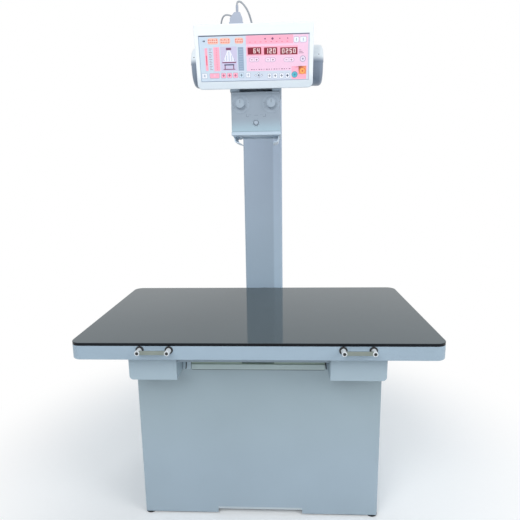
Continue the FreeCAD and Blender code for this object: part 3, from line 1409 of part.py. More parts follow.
def gear_profile(teeth, module, start_angle):
    """Outline of a spur gear in the x-z plane, each flank an involute through three points."""
    pitch = teeth * module / 2
    pressure = math.radians(20)
    base = pitch * math.cos(pressure)
    tip = pitch + module - 0.1
    root = pitch - 1.25 * module
    half_tooth = math.pi / (2 * teeth) - TOOTH_SLACK / pitch
    pitch_angle = math.tan(pressure) - pressure

    def flank(radius):
        if radius <= base:
            return half_tooth + pitch_angle
        a = math.acos(base / radius)
        return half_tooth + pitch_angle - (math.tan(a) - a)

    points = []
    for k in range(teeth):
        middle = start_angle + 2 * math.pi * k / teeth
        radii = (root, pitch, tip)
        side = [(r, middle - flank(r)) for r in radii] + [(r, middle + flank(r)) for r in reversed(radii)]
        points = points + [V(r * math.cos(a), 0, r * math.sin(a)) for r, a in side]
    return points


def gear_plane():
    return collimator_front() + COLLIMATOR_WALL + 2.5


def rack_plane():
    return gear_plane() + GEAR_FACE + GEAR_FACE_GAP


def spur_gear(x, start_angle, width):
    points = [V(x, gear_plane(), knob_z()) + p for p in gear_profile(GEAR_TEETH, GEAR_MODULE, start_angle)]
    return prism(points, V(0, width, 0))


def width_shaft():
    """Left knob's shaft with its gear at the inner end."""
    x = -knob_x()
    y0 = collimator_front() - DIAL_THICKNESS - RUNNING_GAP - 8
    shaft = rod(SHAFT_RADIUS, V(x, y0, knob_z()), V(x, gear_plane() + GEAR_FACE, knob_z()))
    return spur_gear(x, 0.0, GEAR_FACE).fuse(shaft)


def rack_gear():
    """Gear on the housing's stub: its front half meshes with the left gear, its rear with the racks."""
    half_step = math.pi / GEAR_TEETH
    y = gear_plane()
    width = rack_plane() + GEAR_FACE - y
    gear = spur_gear(0, math.pi + half_step, width)
    bore = rod(GEAR_STUB_RADIUS + SHAFT_CLEARANCE, V(0, y - 1, knob_z()), V(0, y + width + 1, knob_z()))
    return gear.cut(bore)


def rack(x0, count, pitch_z, up, middle_x):
    """Straight rack: teeth point along up, and a gap is centred over middle_x."""
    step = math.pi * GEAR_MODULE
    tip = GEAR_MODULE - 0.1
    root = -1.25 * GEAR_MODULE
    half_tip = step / 4 - TOOTH_SLACK - tip * math.tan(math.radians(20))
    half_root = step / 4 - TOOTH_SLACK - root * math.tan(math.radians(20))
    first = middle_x + step * (math.floor((x0 - middle_x) / step) + 0.5)
    outline = [(first - step / 2, root - 4), (first - step / 2, root)]
    for k in range(count):
        m = first + step * k
        tooth = [(m - half_root, root), (m - half_tip, tip), (m + half_tip, tip), (m + half_root, root)]
        outline = outline + tooth
    last = first + step * (count - 0.5)
    outline = outline + [(last, root), (last, root - 4)]
    points = [V(x, rack_plane(), pitch_z + up * z) for x, z in outline]
    return prism(points, V(0, GEAR_FACE, 0)), first - step / 2, last


def rack_phase():
    """Place of the gear's teeth over and under its centre: a quarter step to the left."""
    return -math.pi * GEAR_MODULE / 4


def wide_leaf_z():
    return collimator_bottom + WIDE_LEAF_LEVEL


def guide_depths():
    return (BEAM_Y - GUIDE_SPREAD, BEAM_Y + GUIDE_SPREAD)


def wide_plate(sign):
    """Shutter plate that moves along x, with lugs on the two cross guides."""
    x0, x1 = sorted((sign * WIDE_FIELD_HALF, sign * (WIDE_FIELD_HALF + WIDE_LEAF)))
    z = wide_leaf_z()
    y0, y1 = guide_depths()
    plate = block(x0, x1, y0 + LUG, y1 - LUG, z - LEAF_THICKNESS / 2, z + LEAF_THICKNESS / 2)
    for y in (y0, y1):
        plate = plate.fuse(block(x0 + 4, x1 - 4, y - LUG, y + LUG, z - LUG, z + LUG))
        plate = plate.cut(rod(GUIDE_RADIUS + GUIDE_CLEARANCE, V(x0, y, z), V(x1, y, z)))
    return plate


def right_leaf():
    """Right shutter: its rack lies under the gear."""
    pitch_z = knob_z() - gear_radius()
    bar, x0, x1 = rack(-6.0, 11, pitch_z, 1, rack_phase())
    top = pitch_z - 1.25 * GEAR_MODULE
    y_arm = rack_plane()
    arm_x = WIDE_FIELD_HALF
    front = guide_depths()[0]
    arm = block(arm_x, arm_x + 7, y_arm, front - 1, top - 10, top - 4)
    link = block(x1 - 1, arm_x + 7, y_arm, y_arm + GEAR_FACE, top - 10, top)
    bar = bar.fuse(block(x0, x1, y_arm, y_arm + GEAR_FACE, top - 10, top - 3.9))
    z = wide_leaf_z()
    drop = block(arm_x, arm_x + 7, front - LUG, front + LUG, z - LUG, top - 4)
    drop = drop.cut(rod(GUIDE_RADIUS + GUIDE_CLEARANCE, V(0, front, z), V(2 * arm_x, front, z)))
    return wide_plate(1).fuse(bar).fuse(link).fuse(arm).fuse(drop).removeSplitter()


def left_leaf():
    """Left shutter: its rack lies over the gear and an arm reaches down behind it."""
    pitch_z = knob_z() + gear_radius()
    count = 11
    step = math.pi * GEAR_MODULE
    bar, x0, x1 = rack(5.0 - step * count, count, pitch_z, -1, rack_phase())
    low = pitch_z + 1.25 * GEAR_MODULE
    y0 = rack_plane()
    y1 = y0 + GEAR_FACE
    arm_x = -WIDE_FIELD_HALF
    link = block(arm_x - 7, x0 + 1, y0, y1, low, low + 4)
    front = guide_depths()[0]
    hook = block(arm_x - 7, arm_x, y1 - 1, front + LUG, low, low + 4)
    z = wide_leaf_z()
    drop = block(arm_x - 7, arm_x, front - LUG, front + LUG, z - LUG, low + 4)
    drop = drop.cut(rod(GUIDE_RADIUS + GUIDE_CLEARANCE, V(2 * arm_x, front, z), V(0, front, z)))
    return wide_plate(-1).fuse(bar).fuse(link).fuse(hook).fuse(drop).removeSplitter()


def cross_guides():
    """Two rods across the housing for the shutters that move along x."""
    x = COLLIMATOR_WIDTH / 2 - COLLIMATOR_WALL
    z = wide_leaf_z()
    return [rod(GUIDE_RADIUS, V(-x, y, z), V(x, y, z)) for y in guide_depths()]


def long_guide_place():
    return -70.0, collimator_ceiling() - 6


def long_guide():
    """Rod along y for the shutters that move along y."""
    x, z = long_guide_place()
    y0 = collimator_front() + COLLIMATOR_WALL
    y1 = collimator_front() + COLLIMATOR_DEPTH - COLLIMATOR_WALL
    return rod(GUIDE_RADIUS, V(x, y0, z), V(x, y1, z))


def length_screw():
    """Right knob's shaft with two thick threaded stretches of opposite hand."""
    x = knob_x()
    z = knob_z()
    y0 = collimator_front() - DIAL_THICKNESS - RUNNING_GAP - 8
    y1 = collimator_front() + COLLIMATOR_DEPTH - COLLIMATOR_WALL
    shaft = rod(SHAFT_RADIUS, V(x, y0, z), V(x, y1, z))
    for sign in (-1, 1):
        a, b = sorted((BEAM_Y + sign * 5, BEAM_Y + sign * 68))
        shaft = shaft.fuse(rod(SHAFT_RADIUS + 1, V(x, a, z), V(x, b, z)))
    return shaft.removeSplitter()


def long_leaf(sign):
    """Shutter that moves along y: nut on the screw at its right, lug on the guide at its left."""
    gx, gz = long_guide_place()
    z = collimator_ceiling() - 14
    y0, y1 = sorted((BEAM_Y + sign * LONG_FIELD_HALF, BEAM_Y + sign * (LONG_FIELD_HALF + LONG_LEAF)))
    plate = block(gx - 5, knob_x() + 6, y0, y1, z - LEAF_THICKNESS / 2, z + LEAF_THICKNESS / 2)
    lug = block(gx - 5, gx + 6, y0 + 5, y1 - 5, z - LEAF_THICKNESS / 2, gz + 5)
    lug = lug.cut(rod(GUIDE_RADIUS + GUIDE_CLEARANCE, V(gx, y0, gz), V(gx, y1, gz)))
    x = knob_x()
    nut = block(x - 9, x + 9, y0 + 6, y1 - 6, knob_z() - 9, z)
    nut = nut.cut(rod(SHAFT_RADIUS + 1 + SHAFT_CLEARANCE, V(x, y0, knob_z()), V(x, y1, knob_z())))
    return plate.fuse(lug).fuse(nut).removeSplitter()


def mirror_foot_z():
    drop = (MIRROR_HALF - 1) * math.sin(math.radians(MIRROR_TILT))
    return collimator_bottom + MIRROR_LEVEL - drop


def light_mirror():
    """Thin tilted mirror under the upper shutters, on a foot from the rear wall."""
    plate = block(-MIRROR_HALF, MIRROR_HALF, -MIRROR_HALF, MIRROR_HALF, -1, 1)
    plate.rotate(V(0, 0, 0), X_AXIS, -MIRROR_TILT)
    plate.translate(V(0, BEAM_Y, collimator_bottom + MIRROR_LEVEL))
    y1 = collimator_front() + COLLIMATOR_DEPTH - COLLIMATOR_WALL
    foot = block(-12, 12, BEAM_Y + 22, y1, mirror_foot_z() - 2.5, mirror_foot_z())
    return plate.fuse(foot).removeSplitter()


def field_lamp():
    """Small lamp in a holder on the mirror's foot."""
    z = mirror_foot_z()
    y = BEAM_Y + 72
    holder = block(-9, 9, y - 8, y + 8, z, z + 14)
    bulb = rod(5.0, V(0, y, z + 14), V(0, y, z + 22))
    return [holder, bulb.makeFillet(3.0, [e for e in bulb.Edges if e.BoundBox.ZMin > z + 21.9])]


def button_z():
    return collimator_bottom + COLLIMATOR_HEIGHT - BUTTON_DROP


def light_button():
    """Round button with a collar inside the wall that stops it falling out."""
    y0 = collimator_front()
    z = button_z()
    face = y0 - BUTTON_TRAVEL - 1.5
    button = rod(BUTTON_RADIUS, V(0, face, z), V(0, y0 + COLLIMATOR_WALL + 0.3, z))
    rims = [e for e in button.Edges if e.BoundBox.YMax < face + 0.1]
    button = button.makeFillet(1.0, rims)
    inner = y0 + COLLIMATOR_WALL
    collar = rod(BUTTON_RADIUS + 1.5, V(0, inner + 0.3, z), V(0, inner + 1.5, z))
    return button.fuse(collar)


def button_bezel():
    y0 = collimator_front()
    z = button_z()
    body = ring(BUTTON_RADIUS + 3, BUTTON_RADIUS + 0.3, V(0, y0 - 1.5, z), V(0, y0, z))
    rims = [e for e in body.Edges
            if e.BoundBox.YMax < y0 - 1.4 and e.Length > 2 * math.pi * BUTTON_RADIUS + 10]
    return body.makeFillet(1.0, rims)


save("base_cabinet", base_cabinet())
save("cabinet_back_panel", cabinet_back_panel())
save("base_frame", base_frame())
save("levelling_feet", levelling_feet())
save("deck_plate", deck_plate())
save("transverse_rails", transverse_rails())
save("power_unit", power_unit())
save("mains_inlet", mains_inlet())
save("mains_rocker", mains_rocker())
save("receptor_unit", receptor_unit())
save("scatter_grid", scatter_grid())
save("edge_strips", edge_strips())
save("tray_pan", tray_pan())
save("tray_front", tray_front())
save("tray_catches", tray_catches())
save("flat_detector", flat_detector())
save("carriage_frame", carriage_frame())
save("left_rail_housing", left_rail_housing())
save("right_rail_housing", right_rail_housing())
save("longitudinal_bearings", longitudinal_bearings())
save("transverse_bearings", transverse_bearings())
save("magnetic_brakes", magnetic_brakes())
save("table_frame", table_frame())
save("tabletop_panel", tabletop_panel())
save("table_beams", table_beams())
save("longitudinal_rails", longitudinal_rails())
save("handle_rosettes", handle_rosettes())
save("handle_posts", handle_posts())
save("handle_plugs", handle_plugs())
save("handle_bars", handle_bars())
save("column_post", [column_post(), column_base_plate()])
save("column_cap", column_cap())
save("column_ties", column_ties())
save("support_arm", [support_arm()] + arm_bolts())
save("swivel_shaft", swivel_shaft() + [swivel_nut()])
save("swivel_lock_knob", swivel_lock_knob())
save("head_saddles", [cradle(), port_block(), console_bracket()])
save("tube_housing", tube_housing())
save("end_caps", [end_cap(-1), end_cap(1)])
save("collimator_mount", collimator_mount())
save("console_shell", console_shell())
save("console_bezel", console_bezel())
save("control_overlay", control_overlay())
save("display_modules", display_modules())
save("cable_connector", [cable_connector(), strain_relief()])
save("cable_glands", cable_glands())
save("link_cable", link_cable())
save("signal_cable", signal_cable())
save("collimator_housing", [collimator_housing(), swivel_ring()])
save("collimator_base", [collimator_base(), field_window()])
save("collimator_fittings", accessory_rails() + dial_plates() + [button_bezel()])
save("shutter_guides", cross_guides() + [long_guide(), light_mirror()] + field_lamp())
save("width_knob", [knob(-knob_x()), width_shaft()])
save("rack_gear", rack_gear())
save("left_shutter", left_leaf())
save("right_shutter", right_leaf())
save("length_knob", [knob(knob_x()), length_screw()])
save("front_shutter", long_leaf(-1))
save("rear_shutter", long_leaf(1))
save("light_button", light_button())
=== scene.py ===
"""Looks of a floating-top x-ray table: camera, leads, pale studio, painted metal and a printed console."""
import math
import bmesh
import bpy
from mathutils import Matrix, Vector


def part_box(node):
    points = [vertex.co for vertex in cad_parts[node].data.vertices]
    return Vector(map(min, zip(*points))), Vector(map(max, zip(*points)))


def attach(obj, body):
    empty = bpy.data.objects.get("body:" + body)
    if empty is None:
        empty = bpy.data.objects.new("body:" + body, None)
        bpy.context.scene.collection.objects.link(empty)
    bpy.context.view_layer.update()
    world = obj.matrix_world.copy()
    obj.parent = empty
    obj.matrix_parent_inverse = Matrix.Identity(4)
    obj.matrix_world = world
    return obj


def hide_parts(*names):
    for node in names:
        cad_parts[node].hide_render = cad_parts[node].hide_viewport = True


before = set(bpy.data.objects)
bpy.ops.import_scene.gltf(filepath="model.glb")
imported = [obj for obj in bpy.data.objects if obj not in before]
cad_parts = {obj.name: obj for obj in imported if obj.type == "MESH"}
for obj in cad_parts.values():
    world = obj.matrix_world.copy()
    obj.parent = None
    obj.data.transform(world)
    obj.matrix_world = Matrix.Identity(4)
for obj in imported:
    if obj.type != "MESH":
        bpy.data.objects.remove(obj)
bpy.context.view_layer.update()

# Camera. It stands a little right of the middle at eye height and looks slightly down on the top; its
# place, lens and tilt were fitted to the edges of the top, the cabinet and the handles.
pitch, yaw, roll = math.radians(10.8), math.radians(2.67), math.radians(-0.835)
forward = Vector((-math.sin(yaw) * math.cos(pitch), math.cos(yaw) * math.cos(pitch), -math.sin(pitch)))
level = Vector((math.cos(yaw), math.sin(yaw), 0.0))
above = level.cross(forward)
right = math.cos(roll) * level + math.sin(roll) * above
up = math.cos(roll) * above - math.sin(roll) * level
eye = (0.082, -1.8485, 1.250)
focal_length = 31.465
sensor_width = 36.0
camera = bpy.data.objects.new("camera", bpy.data.cameras.new("camera"))
camera.data.lens = focal_length
camera.data.sensor_width = sensor_width
camera.matrix_world = Matrix((
    (right.x, up.x, -forward.x, eye[0]),
    (right.y, up.y, -forward.y, eye[1]),
    (right.z, up.z, -forward.z, eye[2]),
    (0.0, 0.0, 0.0, 1.0)))
bpy.context.scene.collection.objects.link(camera)
bpy.context.scene.camera = camera
bpy.context.scene.view_settings.view_transform = "Standard"


# Leads. Two short grey PVC leads leave the plug hood on top of the head: the thicker one loops up and
# over to a gland on the barrel, the thinner one drops behind the hood's side to a second gland.
def lead(name, points, diameter):
    """A round lead as one smooth spline through the region of its route's points."""
    curve = bpy.data.curves.new(name, "CURVE")
    curve.dimensions = "3D"
    spline = curve.splines.new("NURBS")
    spline.points.add(len(points) - 1)
    for slot, point in zip(spline.points, points):
        slot.co = (*point, 1.0)
        slot.radius = diameter / 2
    spline.order_u = 3
    spline.use_endpoint_u = True
    spline.resolution_u = 12
    curve.bevel_depth = 1.0
    curve.bevel_resolution = 5
    piece = bpy.data.objects.new(name, curve)
    bpy.context.scene.collection.objects.link(piece)
    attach(piece, "head")
    return piece


link_lead = lead("link_lead", [
    (-0.0535, -0.2705, 1.779554), (-0.0535, -0.2705, 1.787054), (-0.048, -0.2695, 1.791554),
    (-0.0395, -0.267, 1.789554), (-0.0295, -0.2605, 1.780554), (-0.0205, -0.2505, 1.769054),
    (-0.014, -0.2375, 1.754554), (-0.009, -0.2205, 1.736554), (-0.0075, -0.1985, 1.719554),
    (-0.009, -0.1769, 1.70662), (-0.009, -0.172405, 1.695493)], 0.006)
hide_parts("link_cable")
signal_lead = lead("signal_lead", [
    (-0.073, -0.2705, 1.748554), (-0.087, -0.2665, 1.755554), (-0.104, -0.2505, 1.752554),
    (-0.114, -0.2225, 1.730554), (-0.11, -0.179148, 1.712182), (-0.11, -0.172405, 1.695493)], 0.005)
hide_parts("signal_cable")


# Studio. A pale sheet of floor takes the object's soft shadow and fades into a plain white surround; three
# broad soft lights hang round the object and the surround itself fills in the rest.
def add(tree, kind, inputs=(), **settings):
    """Adds a shader node, sets its properties and feeds its inputs with sockets or plain values."""
    node = tree.nodes.new("ShaderNode" + kind)
    for key, value in settings.items():
        setattr(node, key, value)
    for key, value in dict(inputs).items():
        if isinstance(value, bpy.types.NodeSocket):
            tree.links.new(value, node.inputs[key])
        else:
            node.inputs[key].default_value = value
    return node


def look(name):
    """A new material, its node tree and its surface shader."""
    made = bpy.data.materials.new(name)
    made.use_nodes = True
    return made, made.node_tree, made.node_tree.nodes["Principled BSDF"]


def two_tones(tree, share, one, two):
    """Runs from one colour to the other as a value goes from 0 to 1."""
    return add(tree, "MixRGB", {0: share, 1: one, 2: two}).outputs["Color"]


def seen_directly(tree):
    """1 for a ray that comes straight from the camera or off a mirror-like surface, else 0."""
    path = add(tree, "LightPath")
    return add(tree, "Math", {0: path.outputs["Is Camera Ray"], 1: path.outputs["Is Glossy Ray"]},
               operation="MAXIMUM").outputs["Value"]


world = bpy.data.worlds.new("surround")
bpy.context.scene.world = world
world.use_nodes = True
tree = world.node_tree
fill = tree.nodes["Background"]
fill.inputs["Color"].default_value = (0.90, 0.955, 1.0, 1.0)
fill.inputs["Strength"].default_value = 0.56
white = add(tree, "Background", {"Color": (1.0, 1.0, 1.0, 1.0), "Strength": 1.0})
choose = add(tree, "MixShader", {0: seen_directly(tree), 1: fill.outputs[0], 2: white.outputs[0]})
tree.links.new(choose.outputs["Shader"], tree.nodes["World Output"].inputs["Surface"])

floor_mesh = bpy.data.meshes.new("floor")
shape = bmesh.new()
bmesh.ops.create_grid(shape, x_segments=8, y_segments=8, size=6.0)
shape.to_mesh(floor_mesh)
shape.free()
floor = bpy.data.objects.new("floor", floor_mesh)
bpy.context.scene.collection.objects.link(floor)
floor_look, tree, shader = look("floor_look")
place = add(tree, "TexCoord").outputs["Object"]
speckle = add(tree, "TexNoise", {"Vector": place, "Scale": 60.0, "Detail": 4.0})
tint = two_tones(tree, speckle.outputs["Fac"], (0.965, 0.97, 0.975, 1.0), (0.99, 0.992, 0.995, 1.0))
tree.links.new(tint, shader.inputs["Base Color"])
shader.inputs["Roughness"].default_value = 0.9
shader.inputs["Specular IOR Level"].default_value = 0.1
reach = add(tree, "VectorMath", {0: place}, operation="LENGTH")
fade_start, fade_end = 0.7, 1.5
fade = add(tree, "MapRange", {"Value": reach.outputs["Value"], "From Min": fade_start, "From Max": fade_end},
           interpolation_type="SMOOTHSTEP")
share = add(tree, "Math", {0: fade.outputs["Result"], 1: seen_directly(tree)}, operation="MULTIPLY")
white = add(tree, "Emission", {"Color": (1.0, 1.0, 1.0, 1.0)})
choose = add(tree, "MixShader", {0: share.outputs["Value"], 1: shader.outputs["BSDF"], 2: white.outputs[0]})
tree.links.new(choose.outputs["Shader"], tree.nodes["Material Output"].inputs["Surface"])
floor_mesh.materials.append(floor_look)

aim = Vector((0.0, 0.0, 0.9))
for name, place, size, power in (
        ("key_light", (-0.9, -2.8, 2.9), 2.4, 49.0),
        ("fill_light", (2.6, -1.9, 2.2), 2.0, 33.0),
        ("rear_light", (0.6, 2.8, 2.8), 2.0, 30.0)):
    lamp = bpy.data.lights.new(name, "AREA")
    lamp.shape = "DISK"
    lamp.size = size
    lamp.energy = power
    lamp.color = (0.98, 0.985, 0.985)
    light = bpy.data.objects.new(name, lamp)
    light.location = place
    light.rotation_euler = (aim - Vector(place)).to_track_quat("-Z", "Y").to_euler()
    light.visible_camera = False
    light.visible_glossy = False
    bpy.context.scene.collection.objects.link(light)


# Cabinet. A folded sheet steel cover, deck and rear panel in pale blue-grey powder coat on a welded frame;
# the coat has a fine orange peel and drifts a little in tone, and is painted darker and greyer towards the
# top as painted shade.
def node_group(name, inputs, outputs):
    """A new shader node group; gives the tree, its input node and its output node."""
    made = bpy.data.node_groups.new(name, "ShaderNodeTree")
    for label, kind, value in inputs:
        made.interface.new_socket(name=label, in_out="INPUT", socket_type=kind).default_value = value
    for label, kind in outputs:
        made.interface.new_socket(name=label, in_out="OUTPUT", socket_type=kind)
    return made, made.nodes.new("NodeGroupInput"), made.nodes.new("NodeGroupOutput")


coat, given, result = node_group(
    "powder_coat",
    [("Tone", "NodeSocketColor", (0.33, 0.42, 0.50, 1.0)),
     ("Low Tone", "NodeSocketColor", (0.33, 0.42, 0.50, 1.0)),
     ("Low Z", "NodeSocketFloat", 0.0),
     ("High Z", "NodeSocketFloat", 1.0),
     ("Gloss", "NodeSocketFloat", 0.4)],
    [("Color", "NodeSocketColor"), ("Roughness", "NodeSocketFloat"), ("Normal", "NodeSocketVector")])
place = add(coat, "TexCoord").outputs["Object"]
height = add(coat, "SeparateXYZ", {0: place}).outputs["Z"]
climb = add(coat, "MapRange", {"Value": height, "From Min": given.outputs["Low Z"],
                               "From Max": given.outputs["High Z"]}, interpolation_type="SMOOTHSTEP")
tone = two_tones(coat, climb.outputs["Result"], given.outputs["Low Tone"], given.outputs["Tone"])
drift = add(coat, "TexNoise", {"Vector": place, "Scale": 2.6, "Detail": 3.0, "Roughness": 0.55})
shade = add(coat, "MapRange", {"Value": drift.outputs["Fac"], "From Min": 0.3, "From Max": 0.7,
                               "To Min": 0.955, "To Max": 1.03})
fleck = add(coat, "TexNoise", {"Vector": place, "Scale": 420.0, "Detail": 2.0})
grit = add(coat, "MapRange", {"Value": fleck.outputs["Fac"], "From Min": 0.3, "From Max": 0.7,
                              "To Min": 0.985, "To Max": 1.012})
both = add(coat, "Math", {0: shade.outputs["Result"], 1: grit.outputs["Result"]}, operation="MULTIPLY")
final = add(coat, "VectorMath", {0: tone, "Scale": both.outputs["Value"]}, operation="SCALE")
coat.links.new(final.outputs["Vector"], result.inputs["Color"])
rough = add(coat, "MapRange", {"Value": drift.outputs["Fac"], "From Min": 0.3, "From Max": 0.7,
                               "To Min": -0.05, "To Max": 0.07})
dull = add(coat, "Math", {0: given.outputs["Gloss"], 1: rough.outputs["Result"]}, operation="ADD")
coat.links.new(dull.outputs["Value"], result.inputs["Roughness"])
peel = add(coat, "TexNoise", {"Vector": place, "Scale": 900.0, "Detail": 2.0, "Roughness": 0.4})
bump = add(coat, "Bump", {"Height": peel.outputs["Fac"], "Strength": 0.18, "Distance": 0.0003})
coat.links.new(bump.outputs["Normal"], result.inputs["Normal"])


def painted(name, tone, low_tone=None, low=0.0, high=1.0, gloss=0.4):
    """A powder coated look that goes from its low tone to its tone between two heights."""
    made, tree, shader = look(name)
    use = add(tree, "Group", node_tree=coat)
    use.inputs["Tone"].default_value = (*tone, 1.0)
    use.inputs["Low Tone"].default_value = (*(low_tone or tone), 1.0)
    use.inputs["Low Z"].default_value = low
    use.inputs["High Z"].default_value = high
    use.inputs["Gloss"].default_value = gloss
    tree.links.new(use.outputs["Color"], shader.inputs["Base Color"])
    tree.links.new(use.outputs["Roughness"], shader.inputs["Roughness"])
    tree.links.new(use.outputs["Normal"], shader.inputs["Normal"])
    shader.inputs["Specular IOR Level"].default_value = 0.35
    return made


def dress(material, *names):
    """Gives CAD nodes their finished material."""
    for name in names:
        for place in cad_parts[name].material_slots:
            place.material = material


# Painted shade: the cabinet's coat turns a little darker and greyer from below 0.12 m to above 0.55 m.
cabinet_paint_shaded_top = painted("cabinet_shaded_top_look", (0.330, 0.412, 0.455), (0.345, 0.430, 0.500), 0.12, 0.55)
housing_paint = painted("housing_paint_look", (0.375, 0.470, 0.535))
dress(cabinet_paint_shaded_top, "base_cabinet", "cabinet_back_panel", "deck_plate")
dress(housing_paint, "left_rail_housing", "right_rail_housing")


# Screws and rivets on the cabinet: countersunk cross-head screws hold the rear panel and the housings, and
# blind rivets hold the cover to its frame low on both sides. All are zinc plated steel.
def plastic(name, tone, roughness=0.45, grain=700.0, strength=0.12, drift_by=0.06):
    """Moulded plastic or rubber: an even tone with a fine spark-eroded grain and a slight sheen drift."""
    made, tree, shader = look(name)
    place = add(tree, "TexCoord").outputs["Object"]
    cloud = add(tree, "TexNoise", {"Vector": place, "Scale": 9.0, "Detail": 3.0})
    shade = add(tree, "MapRange", {"Value": cloud.outputs["Fac"], "From Min": 0.3, "From Max": 0.7,
                                   "To Min": 1.0 - drift_by, "To Max": 1.0 + drift_by / 2})
    base = add(tree, "RGB")
    base.outputs[0].default_value = (*tone, 1.0)
    color = add(tree, "VectorMath", {0: base.outputs[0], "Scale": shade.outputs["Result"]}, operation="SCALE")
    tree.links.new(color.outputs["Vector"], shader.inputs["Base Color"])
    sheen = add(tree, "MapRange", {"Value": cloud.outputs["Fac"], "To Min": roughness - 0.06,
                                   "To Max": roughness + 0.08})
    tree.links.new(sheen.outputs["Result"], shader.inputs["Roughness"])
    fine = add(tree, "TexNoise", {"Vector": place, "Scale": grain, "Detail": 2.0})
    bump = add(tree, "Bump", {"Height": fine.outputs["Fac"], "Strength": strength, "Distance": 0.0003})
    tree.links.new(bump.outputs["Normal"], shader.inputs["Normal"])
    return made


def metal(name, tone, roughness=0.3, stretch=(1.0, 1.0, 1.0), scale=300.0):
    """Bare metal with a fine grain that is drawn out along one axis where it was brushed or drawn."""
    made, tree, shader = look(name)
    place = add(tree, "TexCoord").outputs["Object"]
    along = add(tree, "Mapping", {"Vector": place, "Scale": stretch})
    grain = add(tree, "TexNoise", {"Vector": along.outputs["Vector"], "Scale": scale, "Detail": 4.0})
    blotch = add(tree, "TexNoise", {"Vector": place, "Scale": 14.0, "Detail": 3.0})
    shade = add(tree, "MapRange", {"Value": blotch.outputs["Fac"], "From Min": 0.3, "From Max": 0.7,
                                   "To Min": 0.86, "To Max": 1.06})
    base = add(tree, "RGB")
    base.outputs[0].default_value = (*tone, 1.0)
    color = add(tree, "VectorMath", {0: base.outputs[0], "Scale": shade.outputs["Result"]}, operation="SCALE")
    tree.links.new(color.outputs["Vector"], shader.inputs["Base Color"])
    sheen = add(tree, "MapRange", {"Value": grain.outputs["Fac"], "To Min": roughness - 0.1,
                                   "To Max": roughness + 0.14})
    tree.links.new(sheen.outputs["Result"], shader.inputs["Roughness"])
    bump = add(tree, "Bump", {"Height": grain.outputs["Fac"], "Strength": 0.1, "Distance": 0.0002})
    tree.links.new(bump.outputs["Normal"], shader.inputs["Normal"])
    shader.inputs["Metallic"].default_value = 1.0
    return made


def finish_piece(shape, name, body, materials, angle=35.0):
    """Turns a bmesh into a clean, shaded piece that rides on a body and wears the given materials."""
    bmesh.ops.remove_doubles(shape, verts=shape.verts, dist=1e-7)
    bmesh.ops.recalc_face_normals(shape, faces=shape.faces)
    mesh = bpy.data.meshes.new(name)
    shape.to_mesh(mesh)
    shape.free()
    for material in materials:
        mesh.materials.append(material)
    mesh.shade_smooth()
    mesh.set_sharp_from_angle(angle=math.radians(angle))
    made = bpy.data.objects.new(name, mesh)
    bpy.context.scene.collection.objects.link(made)
    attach(made, body)
    return made


def turned(shape, place, profile, steps=24, index=0):
    """A turned form: radius and height pairs spun round the local z axis of a placing matrix."""
    before = set(shape.verts)
    verts = [shape.verts.new((radius, 0.0, height)) for radius, height in profile]
    edges = [shape.edges.new(pair) for pair in zip(verts, verts[1:])]
    bmesh.ops.spin(shape, geom=verts + edges, cent=(0, 0, 0), axis=(0, 0, 1), angle=math.tau,
                   steps=steps, use_merge=True)
    fresh = [v for v in shape.verts if v not in before]
    bmesh.ops.remove_doubles(shape, verts=fresh, dist=1e-7)
    fresh = [v for v in shape.verts if v not in before]
    for face in {f for v in fresh for f in v.link_faces}:
        face.material_index = index
    bmesh.ops.transform(shape, matrix=place, verts=fresh)


def block(shape, place, size):
    """A box of a given size in the middle of a placing matrix; gives its corners."""
    made = bmesh.ops.create_cube(shape, size=1.0)["verts"]
    bmesh.ops.transform(shape, matrix=place @ Matrix.Diagonal((*size, 1.0)), verts=made)
    return made


def soften(shape, edges, offset, segments):
    """Rounds or chamfers edges; gives the new faces."""
    return bmesh.ops.bevel(shape, geom=edges, offset=offset, offset_type="OFFSET", affect="EDGES",
                           segments=segments, profile=0.5, material=-1)["faces"]


def facing(point, direction):
    """A matrix at a point whose z axis looks along a direction."""
    turn = Vector(direction).to_track_quat("Z", "Y").to_matrix().to_4x4()
    return Matrix.Translation(Vector(point)) @ turn


zinc = metal("zinc_look", (0.62, 0.64, 0.66), 0.34)


def cross_head(shape, point, direction, radius):
    """A low domed screw head; near-black crossed bars on its top stand in for the shade of its cross slot."""
    place = facing(point, direction)
    turned(shape, place, [(0.0, radius * 0.34), (radius * 0.5, radius * 0.30), (radius * 0.86, radius * 0.14),
                          (radius, 0.0), (radius, -radius * 0.1), (0.0, -radius * 0.1)], 16)
    for angle in (0.0, math.pi / 2):
        lift = Matrix.Translation((0.0, 0.0, radius * 0.30))
        slot = block(shape, place @ Matrix.Rotation(angle, 4, "Z") @ lift,
                     (radius * 1.1, radius * 0.2, radius * 0.12))
        for face in {f for v in slot for f in v.link_faces}:
            face.material_index = 1


# Painted shade: this near-black look on the screw heads' crossed bars stands in for the shade in their cross
# slots.
recess_shade = plastic("recess_shade_look", (0.03, 0.032, 0.035), 0.6)
panel_screw_radius = 0.0042
low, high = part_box("cabinet_back_panel")
shape = bmesh.new()
for row, heights in (((-0.412, -0.21, 0.0, 0.21, 0.412), (0.024, 0.556)), ((-0.412, 0.412), (0.20, 0.38))):
    for x in row:
        for z in heights:
            cross_head(shape, (x, high.y, z), (0, 1, 0), panel_screw_radius)
finish_piece(shape, "rear_panel_screws", "stand", [zinc, recess_shade])

rivet = [(0.0, 0.0011), (0.0014, 0.0011), (0.0020, 0.0013), (0.0034, 0.0008), (0.0040, -0.0003),
         (0.0, -0.0003)]
low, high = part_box("base_cabinet")
shape = bmesh.new()
for side, x in ((-1, low.x), (1, high.x)):
    for y in (low.y + 0.06, (low.y + high.y) / 2, high.y - 0.05):
        for z in (0.036, 0.553):
            turned(shape, facing((x, y, z), (side, 0, 0)), rivet, 16)
finish_piece(shape, "cover_rivets", "stand", [zinc])

